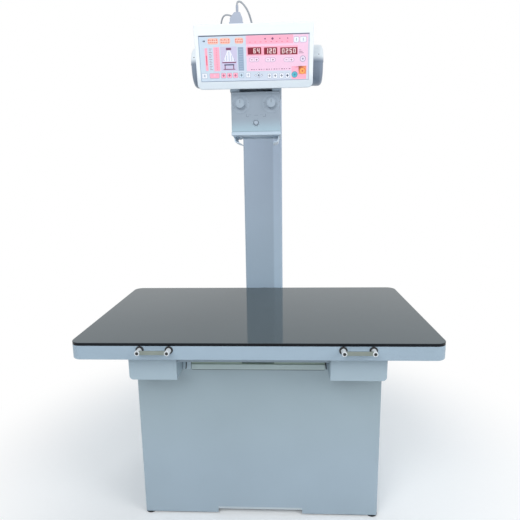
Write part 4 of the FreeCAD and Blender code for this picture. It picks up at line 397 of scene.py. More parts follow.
housing_screw_radius = 0.0038
screw_drop = 0.018
shape = bmesh.new()
for name, side in (("left_rail_housing", -1), ("right_rail_housing", 1)):
    low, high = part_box(name)
    x = low.x if side < 0 else high.x
    for y in (low.y + 0.05, high.y - 0.05):
        cross_head(shape, (x, y, high.z - screw_drop), (side, 0, 0), housing_screw_radius)
    for x in (low.x + 0.03, high.x - 0.03):
        cross_head(shape, (x, high.y, high.z - screw_drop), (0, 1, 0), housing_screw_radius)
finish_piece(shape, "housing_screws", "carriage", [zinc, recess_shade])


# Detector tray. Its front is a folded and welded steel box in a slightly greener grey coat, painted darker
# and greener along its top as painted shade, with a finger recess, two tiny black screws and black spring
# catches; a black rubber bead lines the plate beside it.
# Painted shade: the tray front's coat turns darker and greener above 0.600 m.
tray_paint_shaded_top = painted("tray_shaded_top_look", (0.300, 0.385, 0.320), (0.410, 0.500, 0.500), 0.596, 0.600, 0.45)
shelf_paint = painted("shelf_paint_look", (0.20, 0.26, 0.26), gloss=0.5)
black_rubber = plastic("black_rubber_look", (0.018, 0.020, 0.022), 0.62, 500.0, 0.2)
carbon_panel, tree, shader = look("detector_look")
place = add(tree, "TexCoord").outputs["Object"]
weave = add(tree, "TexWave", {"Vector": place, "Scale": 160.0, "Distortion": 1.5}, bands_direction="DIAGONAL")
tone = two_tones(tree, weave.outputs["Fac"], (0.030, 0.034, 0.040, 1.0), (0.060, 0.066, 0.075, 1.0))
tree.links.new(tone, shader.inputs["Base Color"])
shader.inputs["Roughness"].default_value = 0.38
dress(tray_paint_shaded_top, "tray_front")
dress(shelf_paint, "tray_pan", "receptor_unit")
dress(black_rubber, "tray_catches")
dress(carbon_panel, "flat_detector")
dress(housing_paint, "edge_strips")
grid_foil = metal("grid_foil_look", (0.46, 0.48, 0.50), 0.4, (60.0, 0.4, 1.0), 40.0)
dress(grid_foil, "scatter_grid")

small_screw_radius = 0.0026
black_screw = plastic("black_screw_look", (0.02, 0.022, 0.02), 0.4)
tray_low, tray_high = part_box("tray_front")
shape = bmesh.new()
for x in (-0.144, 0.144):
    cross_head(shape, (x, tray_low.y + 0.003, tray_high.z - 0.0095), (0, -1, 0), small_screw_radius)
finish_piece(shape, "tray_screws", "tray", [black_screw, recess_shade])

catch_x = 0.205
catch_top = 0.6265
shape = bmesh.new()
for side in (-1, 1):
    for wide, foot in ((0.018, 0.6185), (0.008, 0.6160)):
        spot = Matrix.Translation((side * catch_x, tray_low.y + 0.0008, (catch_top + foot) / 2))
        block(shape, spot, (wide, 0.003, catch_top - foot))
finish_piece(shape, "catch_tongues", "tray", [black_rubber])

# Painted shadow: a thin black strip along the sill under the tray front stands in for the shadow of the gap
# between the tray and the cabinet.
shape = bmesh.new()
block(shape, Matrix.Translation((0.0, tray_low.y + 0.0026, 0.5777)), (0.462, 0.0036, 0.0013))
soften(shape, list(shape.edges), 0.0004, 2)
finish_piece(shape, "gap_shadow_strip", "stand", [black_rubber])

# Fascia beside the tray. Narrow folded plates close the gaps to the rail housings, and a black rubber bead
# runs down each of them in a shallow bow.
low, high = tray_low, tray_high
face = low.y + 0.0022
plate_depth = 0.0016
bead_steps = 12
bead_bow = 0.0024
bead_section = ((-0.0018, 0.0), (-0.0011, -0.0012), (0.0011, -0.0012), (0.0018, 0.0))
shape = bmesh.new()
beads = bmesh.new()
for side, near, far, bead in ((-1, 0.2335, 0.2635, 0.2530), (1, 0.2335, 0.2410, 0.2378)):
    spot = Matrix.Translation((side * (near + far) / 2, face + plate_depth / 2, (low.z + high.z) / 2))
    block(shape, spot, (far - near, plate_depth, high.z - low.z))
    rings = []
    for k in range(bead_steps + 1):
        share = k / bead_steps
        bow = bead_bow * (1.0 - (2.0 * share - 1.0) ** 2)
        x = side * (bead - bow)
        z = low.z + 0.0015 + share * (high.z - low.z - 0.003)
        rings.append([beads.verts.new((x + dx, face + dy, z)) for dx, dy in bead_section])
    for one, two in zip(rings, rings[1:]):
        for k in range(4):
            beads.faces.new((one[k], one[(k + 1) % 4], two[(k + 1) % 4], two[k]))
    beads.faces.new(rings[0])
    beads.faces.new(reversed(rings[-1]))
soften(shape, list(shape.edges), 0.0003, 2)
finish_piece(shape, "tray_fascia", "stand", [housing_paint])
finish_piece(beads, "seal_beads", "stand", [black_rubber])


# Tabletop. A flat glossy black composite panel, polished enough to mirror the bright room, faintly smeared
# by wiping; its top face is painted a dark grey as painted light from the bright room while its edges stay
# near black, and it lies in a pale blue-grey steel frame that is a little bluer than the cabinet.
black_gloss, tree, shader = look("tabletop_look")
place = add(tree, "TexCoord").outputs["Object"]
cloud = add(tree, "TexNoise", {"Vector": place, "Scale": 2.2, "Detail": 4.0, "Roughness": 0.6})
tone = two_tones(tree, cloud.outputs["Fac"], (0.080, 0.102, 0.112, 1.0), (0.096, 0.120, 0.132, 1.0))
height = add(tree, "SeparateXYZ", {0: place})
# Painted light: above this height the top face gets a dark grey tone standing in for the room's light on it;
# the edges below stay near black.
edge_top, face_height = 0.7240, 0.7248
painted_light_top_mask = add(tree, "MapRange", {"Value": height.outputs["Z"], "From Min": edge_top, "From Max": face_height})
both = two_tones(tree, painted_light_top_mask.outputs["Result"], (0.004, 0.005, 0.008, 1.0), tone)
tree.links.new(both, shader.inputs["Base Color"])
wipe = add(tree, "Mapping", {"Vector": place, "Scale": (1.0, 6.0, 1.0), "Rotation": (0.0, 0.0, 0.35)})
smear = add(tree, "TexNoise", {"Vector": wipe.outputs["Vector"], "Scale": 7.0, "Detail": 5.0})
sheen = add(tree, "MapRange", {"Value": smear.outputs["Fac"], "From Min": 0.35, "From Max": 0.75,
                               "To Min": 0.035, "To Max": 0.085})
tree.links.new(sheen.outputs["Result"], shader.inputs["Roughness"])
speck = add(tree, "TexVoronoi", {"Vector": place, "Scale": 900.0})
pore = add(tree, "MapRange", {"Value": speck.outputs["Distance"], "From Min": 0.0, "From Max": 0.25})
bump = add(tree, "Bump", {"Height": pore.outputs["Result"], "Strength": 0.02, "Distance": 0.0002})
tree.links.new(bump.outputs["Normal"], shader.inputs["Normal"])
shader.inputs["IOR"].default_value = 1.26
shader.inputs["Specular Tint"].default_value = (0.92, 0.97, 1.0, 1.0)
dress(black_gloss, "tabletop_panel")
frame_paint = painted("frame_paint_look", (0.335, 0.430, 0.515))
dress(frame_paint, "table_frame")


# Handles. Each is a flat bar with a worn, slightly greenish nickel finish between two white posts; black
# rosettes cover the fixing screws and black plugs close the posts' ends.
nickel = metal("nickel_look", (0.30, 0.345, 0.32), 0.42, (1.0, 30.0, 30.0), 60.0)
post_white = plastic("post_look", (0.72, 0.76, 0.79), 0.35, 900.0, 0.06)
moulded_black = plastic("moulded_black_look", (0.014, 0.015, 0.017), 0.32, 900.0, 0.08)
dress(nickel, "handle_bars")
dress(post_white, "handle_posts")
dress(moulded_black, "handle_rosettes", "handle_plugs")
handle_height = 0.702
crown = [(0.0, 0.0005), (0.0030, 0.0004), (0.0042, 0.0001), (0.0047, -0.0003), (0.0, -0.0003)]
plug_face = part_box("handle_plugs")[0].y
shape = bmesh.new()
for x in (-0.3695, -0.2755, 0.2755, 0.3695):
    turned(shape, facing((x, plug_face, handle_height), (0, -1, 0)), crown)
finish_piece(shape, "handle_plug_crowns", "table", [moulded_black])


# Column. A square steel tube with rounded edges, powder coated like the cabinet but painted lighter as
# painted light, with more painted light along its right side; its cap is moulded, the base plate is bolted
# down and two zinc plated channels tie it to the cabinet's rear.
column_paint = painted("column_paint_look", (0.420, 0.500, 0.610), (0.410, 0.510, 0.610), 0.70, 1.40)
tree = column_paint.node_tree
shader = tree.nodes["Principled BSDF"]
coated = shader.inputs["Base Color"].links[0].from_socket
across = add(tree, "SeparateXYZ", {0: add(tree, "TexCoord").outputs["Object"]})
# Painted light: the coat is painted lighter past x = 0.052 m, along the column's right side.
painted_light_right_side = add(tree, "MapRange", {"Value": across.outputs["X"], "From Min": 0.045, "From Max": 0.052,
                              "To Min": 0.97, "To Max": 1.16})
both = add(tree, "VectorMath", {0: coated, "Scale": painted_light_right_side.outputs["Result"]}, operation="SCALE")
tree.links.new(both.outputs["Vector"], shader.inputs["Base Color"])
dress(column_paint, "column_post")
cap_grey = plastic("column_cap_look", (0.16, 0.175, 0.19), 0.5)
dress(cap_grey, "column_cap")
dress(zinc, "column_ties")
plate_top = 0.012
washer_height = 0.0022
washer = [(0.0068, 0.0022), (0.0125, 0.0022), (0.0128, 0.0), (0.0068, 0.0), (0.0068, 0.0022)]
anchor_bolt = [(0.0, 0.0165), (0.0045, 0.0165), (0.0055, 0.0155), (0.0055, 0.0), (0.0, 0.0)]
hexagon = [(0.0055, 0.0), (0.0100, 0.0), (0.0103, 0.0015), (0.0103, 0.0070), (0.0092, 0.0082),
           (0.0055, 0.0082), (0.0055, 0.0)]
shape = bmesh.new()
for x in (-0.110, 0.110):
    for y in (0.3085, 0.5085):
        place = facing((x, y, plate_top), (0, 0, 1))
        turned(shape, place, washer)
        turned(shape, place, anchor_bolt)
        turned(shape, place @ Matrix.Translation((0, 0, washer_height)), hexagon, 6)
finish_piece(shape, "anchor_nuts", "stand", [zinc])


# X-ray head. The barrel is an enamelled casting; its moulded end covers are white, painted dark grey-blue on
# their lower half as painted shade, the two halves joined at mid height. The swivel parts behind are ground
# and dark steel.
head_white = painted("head_white_look", (0.87, 0.905, 0.935), gloss=0.3)
# Painted shade: the end covers turn from white to a dark grey-blue below the barrel's mid height.
end_cap_shaded_below = painted("end_cap_shaded_below_look", (0.80, 0.86, 0.905), (0.235, 0.285, 0.365), 1.618, 1.640, 0.3)
saddle_paint = painted("saddle_look", (0.42, 0.50, 0.58), gloss=0.38)
hood_grey = plastic("hood_look", (0.40, 0.44, 0.53), 0.42, 600.0, 0.1)
dark_steel = metal("dark_steel_look", (0.16, 0.165, 0.175), 0.4)
ground_steel = metal("ground_steel_look", (0.60, 0.615, 0.63), 0.26, (1.0, 1.0, 8.0))
# Painted shade: the console bezel turns a darker grey-blue below about 1.575 m.
bezel_white_shaded_low = painted("bezel_shaded_low_look", (0.87, 0.905, 0.935), (0.68, 0.75, 0.81), 1.535, 1.575, 0.3)
dress(head_white, "tube_housing")
dress(bezel_white_shaded_low, "console_bezel")
dress(end_cap_shaded_below, "end_caps")
dress(saddle_paint, "head_saddles", "collimator_mount", "support_arm")
dress(hood_grey, "cable_connector")
dress(moulded_black, "cable_glands", "swivel_lock_knob")
dress(ground_steel, "swivel_shaft")
shell_white = painted("console_shell_look", (0.72, 0.775, 0.83), gloss=0.34)
dress(shell_white, "console_shell")

barrel_y, barrel_z, cap_radius = -0.1415, 1.619, 0.0668
lift = math.radians(20.0)
side = Vector((0.0, -math.cos(lift), math.sin(lift)))
low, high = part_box("end_caps")
shape = bmesh.new()
for x in (low.x + 0.013, high.x - 0.017):
    cross_head(shape, Vector((x, barrel_y, barrel_z)) + side * cap_radius, side, small_screw_radius)
finish_piece(shape, "cap_screws", "head", [dark_steel, recess_shade])


# Lead jackets. Soft grey extruded PVC, evenly coloured, with a fine grain and a faint drift in its sheen;
# each lead is held by the plug hood at one end and by a gland on the barrel at the other.
jacket = plastic("jacket_look", (0.40, 0.42, 0.455), 0.5, 400.0, 0.05, 0.1)
for piece in (link_lead, signal_lead):
    piece.data.materials.append(jacket)


# Clamp segments. Black and brass segments lie under the console's edge, round the front of the swivel ring,
# in two groups with a gap in the middle; they turn with the collimator.
brass = metal("brass_look", (0.85, 0.68, 0.34), 0.55)
centre = Vector((0.0, barrel_y, 1.5248))
ring_radius = 0.0540
segment_size = (0.0056, 0.0020, 0.0046)
first_angle, step_angle, half_gap = -46.0, 7.0, 5.0
shape = bmesh.new()
for k in range(14):
    angle = math.radians(first_angle + step_angle * k)
    if abs(angle) < math.radians(half_gap):
        continue
    outward = Vector((math.sin(angle), -math.cos(angle), 0.0))
    place = Matrix.Translation(centre + outward * ring_radius) @ Matrix.Rotation(angle, 4, "Z")
    segment = block(shape, place, segment_size)
    fresh = soften(shape, list({e for v in segment for e in v.link_edges}), 0.0004, 1)
    for face in {f for v in segment if v.is_valid for f in v.link_faces} | set(fresh):
        face.material_index = k % 2
finish_piece(shape, "ring_segments", "collimator", [moulded_black, brass])


# Printed membrane. Pale blue film with a pink field on the right, keys, scales and three dark red number
# windows, and a painted shadow round its sunk edge; every legend is generic, and all of it is a thin ink
# layer whose colour is a mesh attribute.
film, tree, shader = look("membrane_look")
place = add(tree, "TexCoord").outputs["Object"]
across = add(tree, "SeparateXYZ", {0: place})
drift = add(tree, "MapRange", {"Value": across.outputs["X"], "From Min": -0.17, "From Max": 0.17})
tone = two_tones(tree, drift.outputs["Result"], (0.60, 0.70, 0.81, 1.0), (0.66, 0.69, 0.80, 1.0))
tree.links.new(tone, shader.inputs["Base Color"])
mist = add(tree, "TexNoise", {"Vector": place, "Scale": 260.0, "Detail": 3.0})
sheen = add(tree, "MapRange", {"Value": mist.outputs["Fac"], "To Min": 0.30, "To Max": 0.46})
tree.links.new(sheen.outputs["Result"], shader.inputs["Roughness"])
bump = add(tree, "Bump", {"Height": mist.outputs["Fac"], "Strength": 0.06, "Distance": 0.0002})
tree.links.new(bump.outputs["Normal"], shader.inputs["Normal"])
dress(film, "control_overlay")
dress(plastic("display_look", (0.10, 0.006, 0.012), 0.25), "display_modules")

print_and_shadow_look, tree, shader = look("print_and_shadow_look")
ink_tone = add(tree, "Attribute", attribute_name="ink")
place = add(tree, "TexCoord").outputs["Object"]
mist = add(tree, "TexNoise", {"Vector": place, "Scale": 300.0, "Detail": 2.0})
shade = add(tree, "MapRange", {"Value": mist.outputs["Fac"], "To Min": 0.93, "To Max": 1.06})
color = add(tree, "VectorMath", {0: ink_tone.outputs["Color"], "Scale": shade.outputs["Result"]},
            operation="SCALE")
tree.links.new(color.outputs["Vector"], shader.inputs["Base Color"])
sheen = add(tree, "MapRange", {"Value": mist.outputs["Fac"], "To Min": 0.32, "To Max": 0.5})
tree.links.new(sheen.outputs["Result"], shader.inputs["Roughness"])

PALE, WHITE, BLUE, NAVY = (203, 220, 234), (238, 240, 248), (150, 168, 192), (58, 74, 104)
PINK, ROSE, HOT, DARK = (244, 203, 226), (255, 176, 198), (255, 132, 150), (128, 72, 108)
ORANGE, TEAL, WINE = (246, 150, 110), (92, 182, 200), (132, 28, 50)
GLOW, LILAC = (255, 232, 232), (206, 200, 226)
console = Matrix.Translation((0.0, -0.2665, 1.525)) @ Matrix.Rotation(math.radians(15.0), 4, "X")
membrane_face = 1.3
ink_step = 0.035
shape = bmesh.new()
ink_layer = shape.loops.layers.float_color.new("ink")


def patch(points, tone, level=1):
    """One flat printed patch: millimetre points on the membrane, a display colour and its ink level."""
    depth = (membrane_face - ink_step * level) / 1000.0
    corners = [console @ Vector((x / 1000.0, depth, z / 1000.0)) for x, z in points]
    face = shape.faces.new([shape.verts.new(corner) for corner in corners])
    linear = [(c / 255.0 / 12.92 if c < 11 else ((c / 255.0 + 0.055) / 1.055) ** 2.4) for c in tone]
    for loop in face.loops:
        loop[ink_layer] = (*linear, 1.0)


def bar(x0, x1, z0, z1, tone, level=1, corner=0.0):
    """A rectangle, with rounded corners where a radius is given."""
    if corner == 0.0:
        patch([(x0, z0), (x1, z0), (x1, z1), (x0, z1)], tone, level)
        return
    points = []
    for cx, cz, start in ((x1 - corner, z0 + corner, -90), (x1 - corner, z1 - corner, 0),
                          (x0 + corner, z1 - corner, 90), (x0 + corner, z0 + corner, 180)):
        for step in range(5):
            turn = math.radians(start + 22.5 * step)
            points.append((cx + corner * math.cos(turn), cz + corner * math.sin(turn)))
    patch(points, tone, level)


def disc(x, z, radius, tone, level=1, sides=20):
    """A printed dot or round key."""
    patch([(x + radius * math.cos(math.tau * k / sides), z + radius * math.sin(math.tau * k / sides))
           for k in range(sides)], tone, level)


def digit(value, x, z, height, tone, level):
    """One numeral of seven bars with its lower left corner at a point."""
    lit = {0: "abcdef", 1: "bc", 2: "abged", 4: "fgbc", 5: "afgcd", 6: "afgecd", 8: "abcdefg"}[value]
    wide, thin = height * 0.56, height * 0.19
    for name, x0, z0, x1, z1 in (
            ("a", 0, height - thin, wide, height), ("g", 0, (height - thin) / 2, wide, (height + thin) / 2),
            ("d", 0, 0, wide, thin), ("f", 0, height / 2, thin, height),
            ("b", wide - thin, height / 2, wide, height), ("e", 0, 0, thin, height / 2),
            ("c", wide - thin, 0, wide, height / 2)):
        if name in lit:
            gap = thin * 0.1
            bar(x + x0 + gap, x + x1 - gap, z + z0 + gap, z + z1 - gap, tone, level)


# Painted shadow round the sunk membrane, darkest along its top, and the coloured fields
for x0, x1, z0, z1, tone in (
        (-176.4, 176.4, 158.6, 161.4, (122, 128, 148)), (-176.4, -174.6, 24.6, 158.6, (176, 196, 218)),
        (174.9, 176.4, 24.6, 158.6, (196, 190, 214)), (-176.4, 176.4, 24.6, 26.0, (150, 166, 190)),
        (-25.0, 173.0, 54.0, 158.4, PINK),
        (-158.9, -150.2, 58.1, 125.3, ROSE), (-130.9, -111.5, 56.6, 127.5, ROSE),
        (-108.3, -55.0, 56.6, 128.2, LILAC), (-51.8, -34.1, 56.6, 126.0, BLUE),
        (120.6, 168.0, 27.0, 53.9, ROSE)):
    bar(x0, x1, z0, z1, tone)
for x0, x1, z0, z1, tone in ((-24.8, 125.0, 133.5, 158.2, ROSE), (-24.8, 140.0, 100.0, 127.0, ROSE),
                             (120.6, 143.0, 54.1, 66.3, ROSE), (143.0, 168.0, 42.0, 66.3, ORANGE)):
    bar(x0, x1, z0, z1, tone, 2)

# Three pictograms of plates with a beam mark, a scale of ticks, a column of dots and a small mark
disc(-158.7, 145.5, 2.6, NAVY, 2)
bar(-164.5, -161.5, 144.0, 147.0, BLUE, 2)
for x0, x1 in ((-147.8, -113.3), (-108.5, -74.9), (-60.6, -33.4)):
    middle, half = (x0 + x1) / 2, (x1 - x0) / 2
    bar(x0, x1, 136.0, 153.5, (250, 196, 178), 2, 6.0)
    for k in range(5):
        x = middle + (k - 2) * half * 0.36
        bar(x - 1.6, x + 1.6, 139.0, 150.5 - 2.2 * (k % 2), (226, 120, 112), 3, 1.5)
    bar(x0 + 3.0, x1 - 3.0, 143.6, 145.2, (252, 232, 224), 4)
for k in range(13):
    z = 61.0 + 5.1 * k
    bar(-145.4, -136.0 - 3.0 * (k % 2), z, z + 1.2, DARK, 2)
    disc(-120.8, z + 0.6, 1.5, HOT, 2, 8)
bar(-156.0, -153.0, 74.0, 104.0, (232, 90, 110), 2, 1.4)

# Generic drawing: a beam cone over a table with a plate under it
patch([(-84.0, 121.0), (-79.0, 121.0), (-62.0, 84.0), (-101.0, 84.0)], (236, 236, 250), 2)
bar(-90.0, -73.0, 118.0, 125.0, DARK, 3, 2.0)
for x in (-98.0, -89.8, -81.6, -73.4, -65.2):
    bar(x, x + 1.3, 86.0, 114.0 - abs(x + 81.5) * 1.4, BLUE, 3)
for z0, z1, inset, tone in ((80.0, 83.5, 0.0, DARK), (73.0, 76.5, 6.0, NAVY), (60.0, 62.5, 3.0, DARK)):
    bar(-104.0 + inset, -59.0 - inset, z0, z1, tone, 3, 1.2)
for x in (-97.0, -69.0):
    bar(x, x + 3.0, 62.5, 73.0, DARK, 3)
for k in range(9):
    bar(-48.6, -37.2, 62.0 + 7.0 * k, 63.4 + 7.0 * k, (176, 192, 212), 2)

# Bottom keys, the diamond of four arrows and the status dots of the upper band
for x0, x1, tone, mark in (
        (-173.4, -155.0, WHITE, BLUE), (-147.5, -114.9, ROSE, PINK), (-110.0, -93.6, ROSE, DARK),
        (-90.4, -74.0, ROSE, DARK), (-70.8, -54.4, ROSE, DARK), (-51.2, -34.9, PALE, NAVY),
        (-28.3, -13.6, WHITE, BLUE), (41.9, 54.9, WHITE, NAVY), (59.8, 74.5, WHITE, NAVY),
        (81.0, 95.7, WHITE, NAVY), (100.6, 113.6, WHITE, NAVY)):
    lift = 0.0 if x0 < 0 else -4.0
    bar(x0, x1, 34.5 + lift, 50.9 + lift, (150, 162, 186), 1, 3.0)
    bar(x0 + 0.8, x1 - 0.8, 35.3 + lift, 50.1 + lift, tone, 2, 2.4)
    middle = (x0 + x1) / 2
    bar(middle - 4.0, middle + 4.0, 42.0 + lift, 43.6 + lift, mark, 3)
    bar(middle - 0.9, middle + 0.9, 38.6 + lift, 47.0 + lift, mark, 3)
disc(107.1, 38.7, 3.0, NAVY, 4)
for x, z in ((-1.0, 0.0), (1.0, 0.0), (0.0, 1.0), (0.0, -1.0)):
    cx, cz = 13.4 + 9.6 * x, 41.2 + 5.4 * z
    patch([(cx - 4.6, cz), (cx, cz - 3.4), (cx + 4.6, cz), (cx, cz + 3.4)], (84, 104, 140), 2)
    patch([(cx - 3.4, cz), (cx, cz - 2.4), (cx + 3.4, cz), (cx, cz + 2.4)], WHITE, 3)
disc(13.4, 41.2, 2.4, NAVY, 3)
for x, radius in ((36.2, 2.4), (59.8, 3.6), (83.1, 1.8), (108.0, 1.8)):
    disc(x, 148.2, radius, DARK, 3, 12)
for k in range(8):
    bar(-15.0 + 17.0 * k, -9.5 + 17.0 * k, 138.6, 140.2, (224, 104, 132), 3)
for x0, x1 in ((126.9, 143.8), (146.0, 167.8)):
    bar(x0, x1, 135.0, 152.3, (176, 160, 190), 2, 4.0)
    bar(x0 + 1.0, x1 - 1.0, 136.0, 151.3, WHITE, 3, 3.4)
    bar((x0 + x1) / 2 - 1.0, (x0 + x1) / 2 + 1.0, 139.5, 148.0, BLUE, 4)

# Number windows with generic readings, their key pairs and the start keys
for x0, x1, base, reading in ((-20.3, 23.1, 103.5, (6, 4)), (32.1, 74.5, 102.3, (1, 2, 0)),
                              (84.2, 138.8, 101.1, (0, 2, 5, 0))):
    bar(x0, x1, base, base + 20.7, WINE, 3, 0.8)
    pitch = 12.0
    start = x1 - 3.0 - pitch * len(reading)
    for k, value in enumerate(reading):
        digit(value, start + pitch * k + 1.6, base + 2.8, 15.0, GLOW, 4)
for k in range(3):
    bar(143.6, 159.0 - 4.0 * k, 104.0 + 4.2 * k, 105.4 + 4.2 * k, DARK, 2)
for x0, x1, z in ((-16.4, 15.9, 81.4), (35.2, 69.2, 80.3), (95.0, 128.9, 79.0)):
    bar(x0, x1, z, z + 12.8, (170, 140, 176), 2, 6.2)
    bar(x0 + 0.9, x1 - 0.9, z + 0.9, z + 11.9, (246, 222, 238), 3, 5.4)
    middle = (x0 + x1) / 2
    bar(middle - 0.5, middle + 0.5, z + 0.9, z + 11.9, (170, 140, 176), 4)
    bar(middle - 11.0, middle - 5.0, z + 5.6, z + 7.2, DARK, 4)
    bar(middle + 5.0, middle + 11.0, z + 5.6, z + 7.2, DARK, 4)
    bar(middle + 7.2, middle + 8.8, z + 3.6, z + 9.2, DARK, 4)
for k in range(16):
    bar(-11.2 + 8.2 * k, -6.6 + 8.2 * k - 1.2 * (k % 3), 57.8, 60.0, DARK, 2)
for x, z, radius, rim, tone in ((156.3, 87.5, 9.3, (150, 140, 172), (236, 222, 238)),
                                (155.5, 51.3, 10.0, (214, 104, 70), (255, 176, 96)),
                                (130.4, 40.9, 9.8, (60, 140, 164), TEAL)):
    disc(x, z, radius, rim, 3)
    disc(x, z, radius - 1.4, tone, 4)
    disc(x, z, radius * 0.32, rim, 5, 12)
finish_piece(shape, "panel_print_and_shadow", "head", [print_and_shadow_look])


# Collimator. A cast cover in pale blue satin enamel, painted darker towards the top as painted shade, with
# knobs painted to match;
# dark ticks are printed on the scale discs, short strokes on the cover and a dark ring round the button, and
# a pale line along the cover's top edge is a painted highlight.
# Painted shade: the cover and its lip turn darker above about 1.44 m, where the console shades them.
collimator_paint_shaded_top = painted("collimator_shaded_top_look", (0.305, 0.360, 0.425), (0.375, 0.500, 0.580), 1.39, 1.44, 0.36)
lip_paint_shaded_top = painted("collimator_lip_shaded_top_look", (0.335, 0.395, 0.465), (0.50, 0.60, 0.70), 1.41, 1.45, 0.36)
knob_paint = painted("knob_look", (0.345, 0.410, 0.480), gloss=0.34)
dress(collimator_paint_shaded_top, "collimator_housing")
dress(lip_paint_shaded_top, "collimator_base", "collimator_fittings")
dress(knob_paint, "width_knob", "length_knob")
dress(plastic("button_look", (0.38, 0.45, 0.53), 0.3), "light_button")

legend = plastic("legend_look", (0.10, 0.12, 0.15), 0.45)
pale_print_and_highlight = plastic("pale_print_and_highlight_look", (0.66, 0.74, 0.82), 0.4)


def stroke(shape, start, end, width, y, index=0):
    """A flat printed line on an upright face, between two points in metres."""
    start, end = Vector(start), Vector(end)
    along = (end - start).normalized()
    side = Vector((-along.y, along.x)) * width / 2
    corners = (start - side, end - side, end + side, start + side)
    face = shape.faces.new([shape.verts.new((p.x, y, p.y)) for p in corners])
    face.material_index = index


disc_front, cover_front, bezel_front = -0.23556, -0.23456, -0.23606
knob_x, knob_z = 0.0525, 1.482
fine_line = 0.0006
shape = bmesh.new()
for x in (-knob_x, knob_x):
    for k in range(25):
        turn = math.radians(-210.0 + 10.0 * k)
        ray = Vector((math.cos(turn), -math.sin(turn)))
        centre = Vector((x, knob_z))
        inner = 0.0205 if k % 2 == 0 else 0.0218
        stroke(shape, centre + ray * inner, centre + ray * 0.0238, fine_line, disc_front)
        if k % 4 == 0:
            for step in range(1 + (k // 4) % 2):
                foot = centre + ray * 0.0268 + Vector((0.0016 * step, 0.0))
                half = Vector((0.0, 0.0011))
                stroke(shape, foot - half, foot + half, fine_line, disc_front)
finish_piece(shape, "dial_ticks", "collimator", [legend])

for x, body in ((-knob_x, "width_knob"), (knob_x, "length_knob")):
    mark = bmesh.new()
    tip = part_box(body)[0].y - 0.00006
    stroke(mark, (x, 1.4835), (x, 1.4945), 0.0016, tip)
    finish_piece(mark, body + "_pointer", body, [legend])

button_centre = Vector((0.0, 1.420))
shape = bmesh.new()
for side in (-1, 1):
    corner = Vector((0.033 * side, 1.4405))
    stroke(shape, corner, corner + Vector((-0.009 * side, 0.0)), 0.0008, cover_front)
    stroke(shape, corner + Vector((0.0, -0.0004)), corner + Vector((0.0, 0.0086)), 0.0008, cover_front)
    for k in range(3):
        foot = Vector((0.020 * side + 0.0035 * (k - 1), 1.4460))
        stroke(shape, foot, foot + Vector((0.0, 0.0018)), 0.0007, cover_front)
for k in range(4):
    stroke(shape, (-0.0055 + 0.0036 * k, 1.4445), (-0.0035 + 0.0036 * k, 1.4445), 0.0009, cover_front)
for k in range(8):
    turn = math.tau * (k + 0.5) / 8
    ray = Vector((math.cos(turn), math.sin(turn)))
    stroke(shape, button_centre + ray * 0.0112, button_centre + ray * 0.0132, 0.0007, cover_front)
for k in range(24):
    start, end = (Vector((math.cos(t), math.sin(t))) for t in (math.tau * k / 24, math.tau * (k + 1) / 24))
    stroke(shape, button_centre + start * 0.0084, button_centre + end * 0.0084, 0.0018, bezel_front)
stroke(shape, (-0.0805, 1.3918), (0.0805, 1.3918), 0.0007, cover_front)
# Painted highlight: a pale line along the cover's top edge.
stroke(shape, (-0.0800, 1.5175), (0.0800, 1.5175), 0.0008, cover_front, 1)
finish_piece(shape, "cover_legends_and_highlight", "collimator", [legend, pale_print_and_highlight])

shape = bmesh.new()
for side in (-1, 1):
    for y in (-0.215, -0.068):
        for z in (1.402, 1.510):
            cross_head(shape, (0.084 * side, y, z), (side, 0, 0), small_screw_radius)
finish_piece(shape, "cover_screws", "collimator", [zinc, recess_shade])


# Shutter work inside the collimator. Lead-loaded leaves slide on ground rods; a brass gear and racks move
# the wide pair, and a ground screw of opposite hands moves the long pair.
leaf_look = metal("leaf_look", (0.20, 0.205, 0.215), 0.45, (1.0, 5.0, 1.0))
dress(leaf_look, "left_shutter", "right_shutter", "front_shutter", "rear_shutter")
dress(brass, "rack_gear")
dress(ground_steel, "shutter_guides")


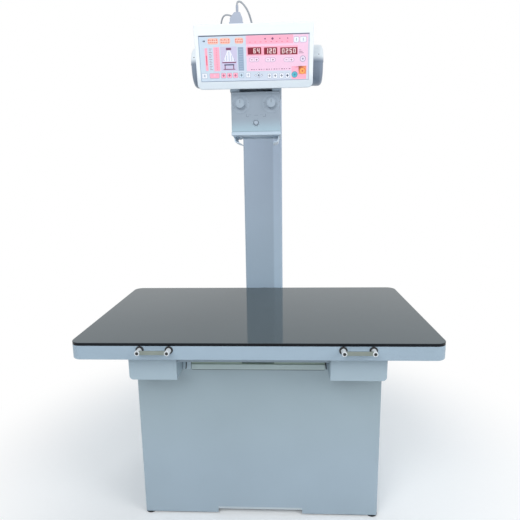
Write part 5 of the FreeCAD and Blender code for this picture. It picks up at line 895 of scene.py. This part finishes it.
# Table structure. Ground rails and blue-black brake magnets, zinc plated bearing blocks and painted beams
# carry the floating top; grease leaves a darker film along the rails.
rail_look, tree, shader = look("rail_look")
place = add(tree, "TexCoord").outputs["Object"]
streak = add(tree, "Mapping", {"Vector": place, "Scale": (1.0, 40.0, 40.0)})
film_cloud = add(tree, "TexNoise", {"Vector": streak.outputs["Vector"], "Scale": 6.0, "Detail": 4.0})
tone = two_tones(tree, film_cloud.outputs["Fac"], (0.34, 0.34, 0.33, 1.0), (0.66, 0.67, 0.68, 1.0))
tree.links.new(tone, shader.inputs["Base Color"])
sheen = add(tree, "MapRange", {"Value": film_cloud.outputs["Fac"], "To Min": 0.42, "To Max": 0.16})
tree.links.new(sheen.outputs["Result"], shader.inputs["Roughness"])
shader.inputs["Metallic"].default_value = 1.0
beam_paint = painted("beam_paint_look", (0.30, 0.37, 0.43), gloss=0.5)
magnet_blue = metal("magnet_look", (0.07, 0.085, 0.12), 0.4)
block_zinc = metal("bearing_block_look", (0.44, 0.46, 0.48), 0.36)
dress(rail_look, "longitudinal_rails", "transverse_rails")
dress(block_zinc, "longitudinal_bearings", "transverse_bearings")
dress(beam_paint, "table_beams", "carriage_frame")
dress(magnet_blue, "magnetic_brakes")


# Cabinet inside. The welded base frame is primed steel painted a pale tone as painted light, so that the tube
# seen through the foot notch is not darkened by shade; the power supply is a folded steel box, the feet zinc
# plated with rubber pads; the mains inlet and its rocker are black mouldings with brass-plated pins.
# Painted light: the base frame's pale tone makes up for the shade it sits in.
base_frame_lightened = painted("base_frame_lightened_look", (0.52, 0.58, 0.62), gloss=0.6)
supply_paint = painted("supply_look", (0.12, 0.13, 0.145), gloss=0.5)
dress(base_frame_lightened, "base_frame")
dress(supply_paint, "power_unit")
dress(black_rubber, "levelling_feet")
dress(moulded_black, "mains_inlet")
dress(plastic("rocker_look", (0.30, 0.012, 0.010), 0.3), "mains_rocker")
low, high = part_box("mains_rocker")
middle = (low + high) / 2
ring_mark = [(0.0016, 0.0), (0.0022, 0.0), (0.0022, 0.0001), (0.0016, 0.0001), (0.0016, 0.0)]
shape = bmesh.new()
ring_centre = Vector((middle.x, high.y + 0.0001, middle.z - (high.z - low.z) * 0.22))
line_centre = Vector((middle.x, high.y + 0.0001, middle.z + (high.z - low.z) * 0.22))
turned(shape, facing(ring_centre, (0, 1, 0)), ring_mark, 20)
block(shape, Matrix.Translation(line_centre), (0.0007, 0.0002, 0.0044))
finish_piece(shape, "rocker_marks", "mains_switch", [pale_print_and_highlight])
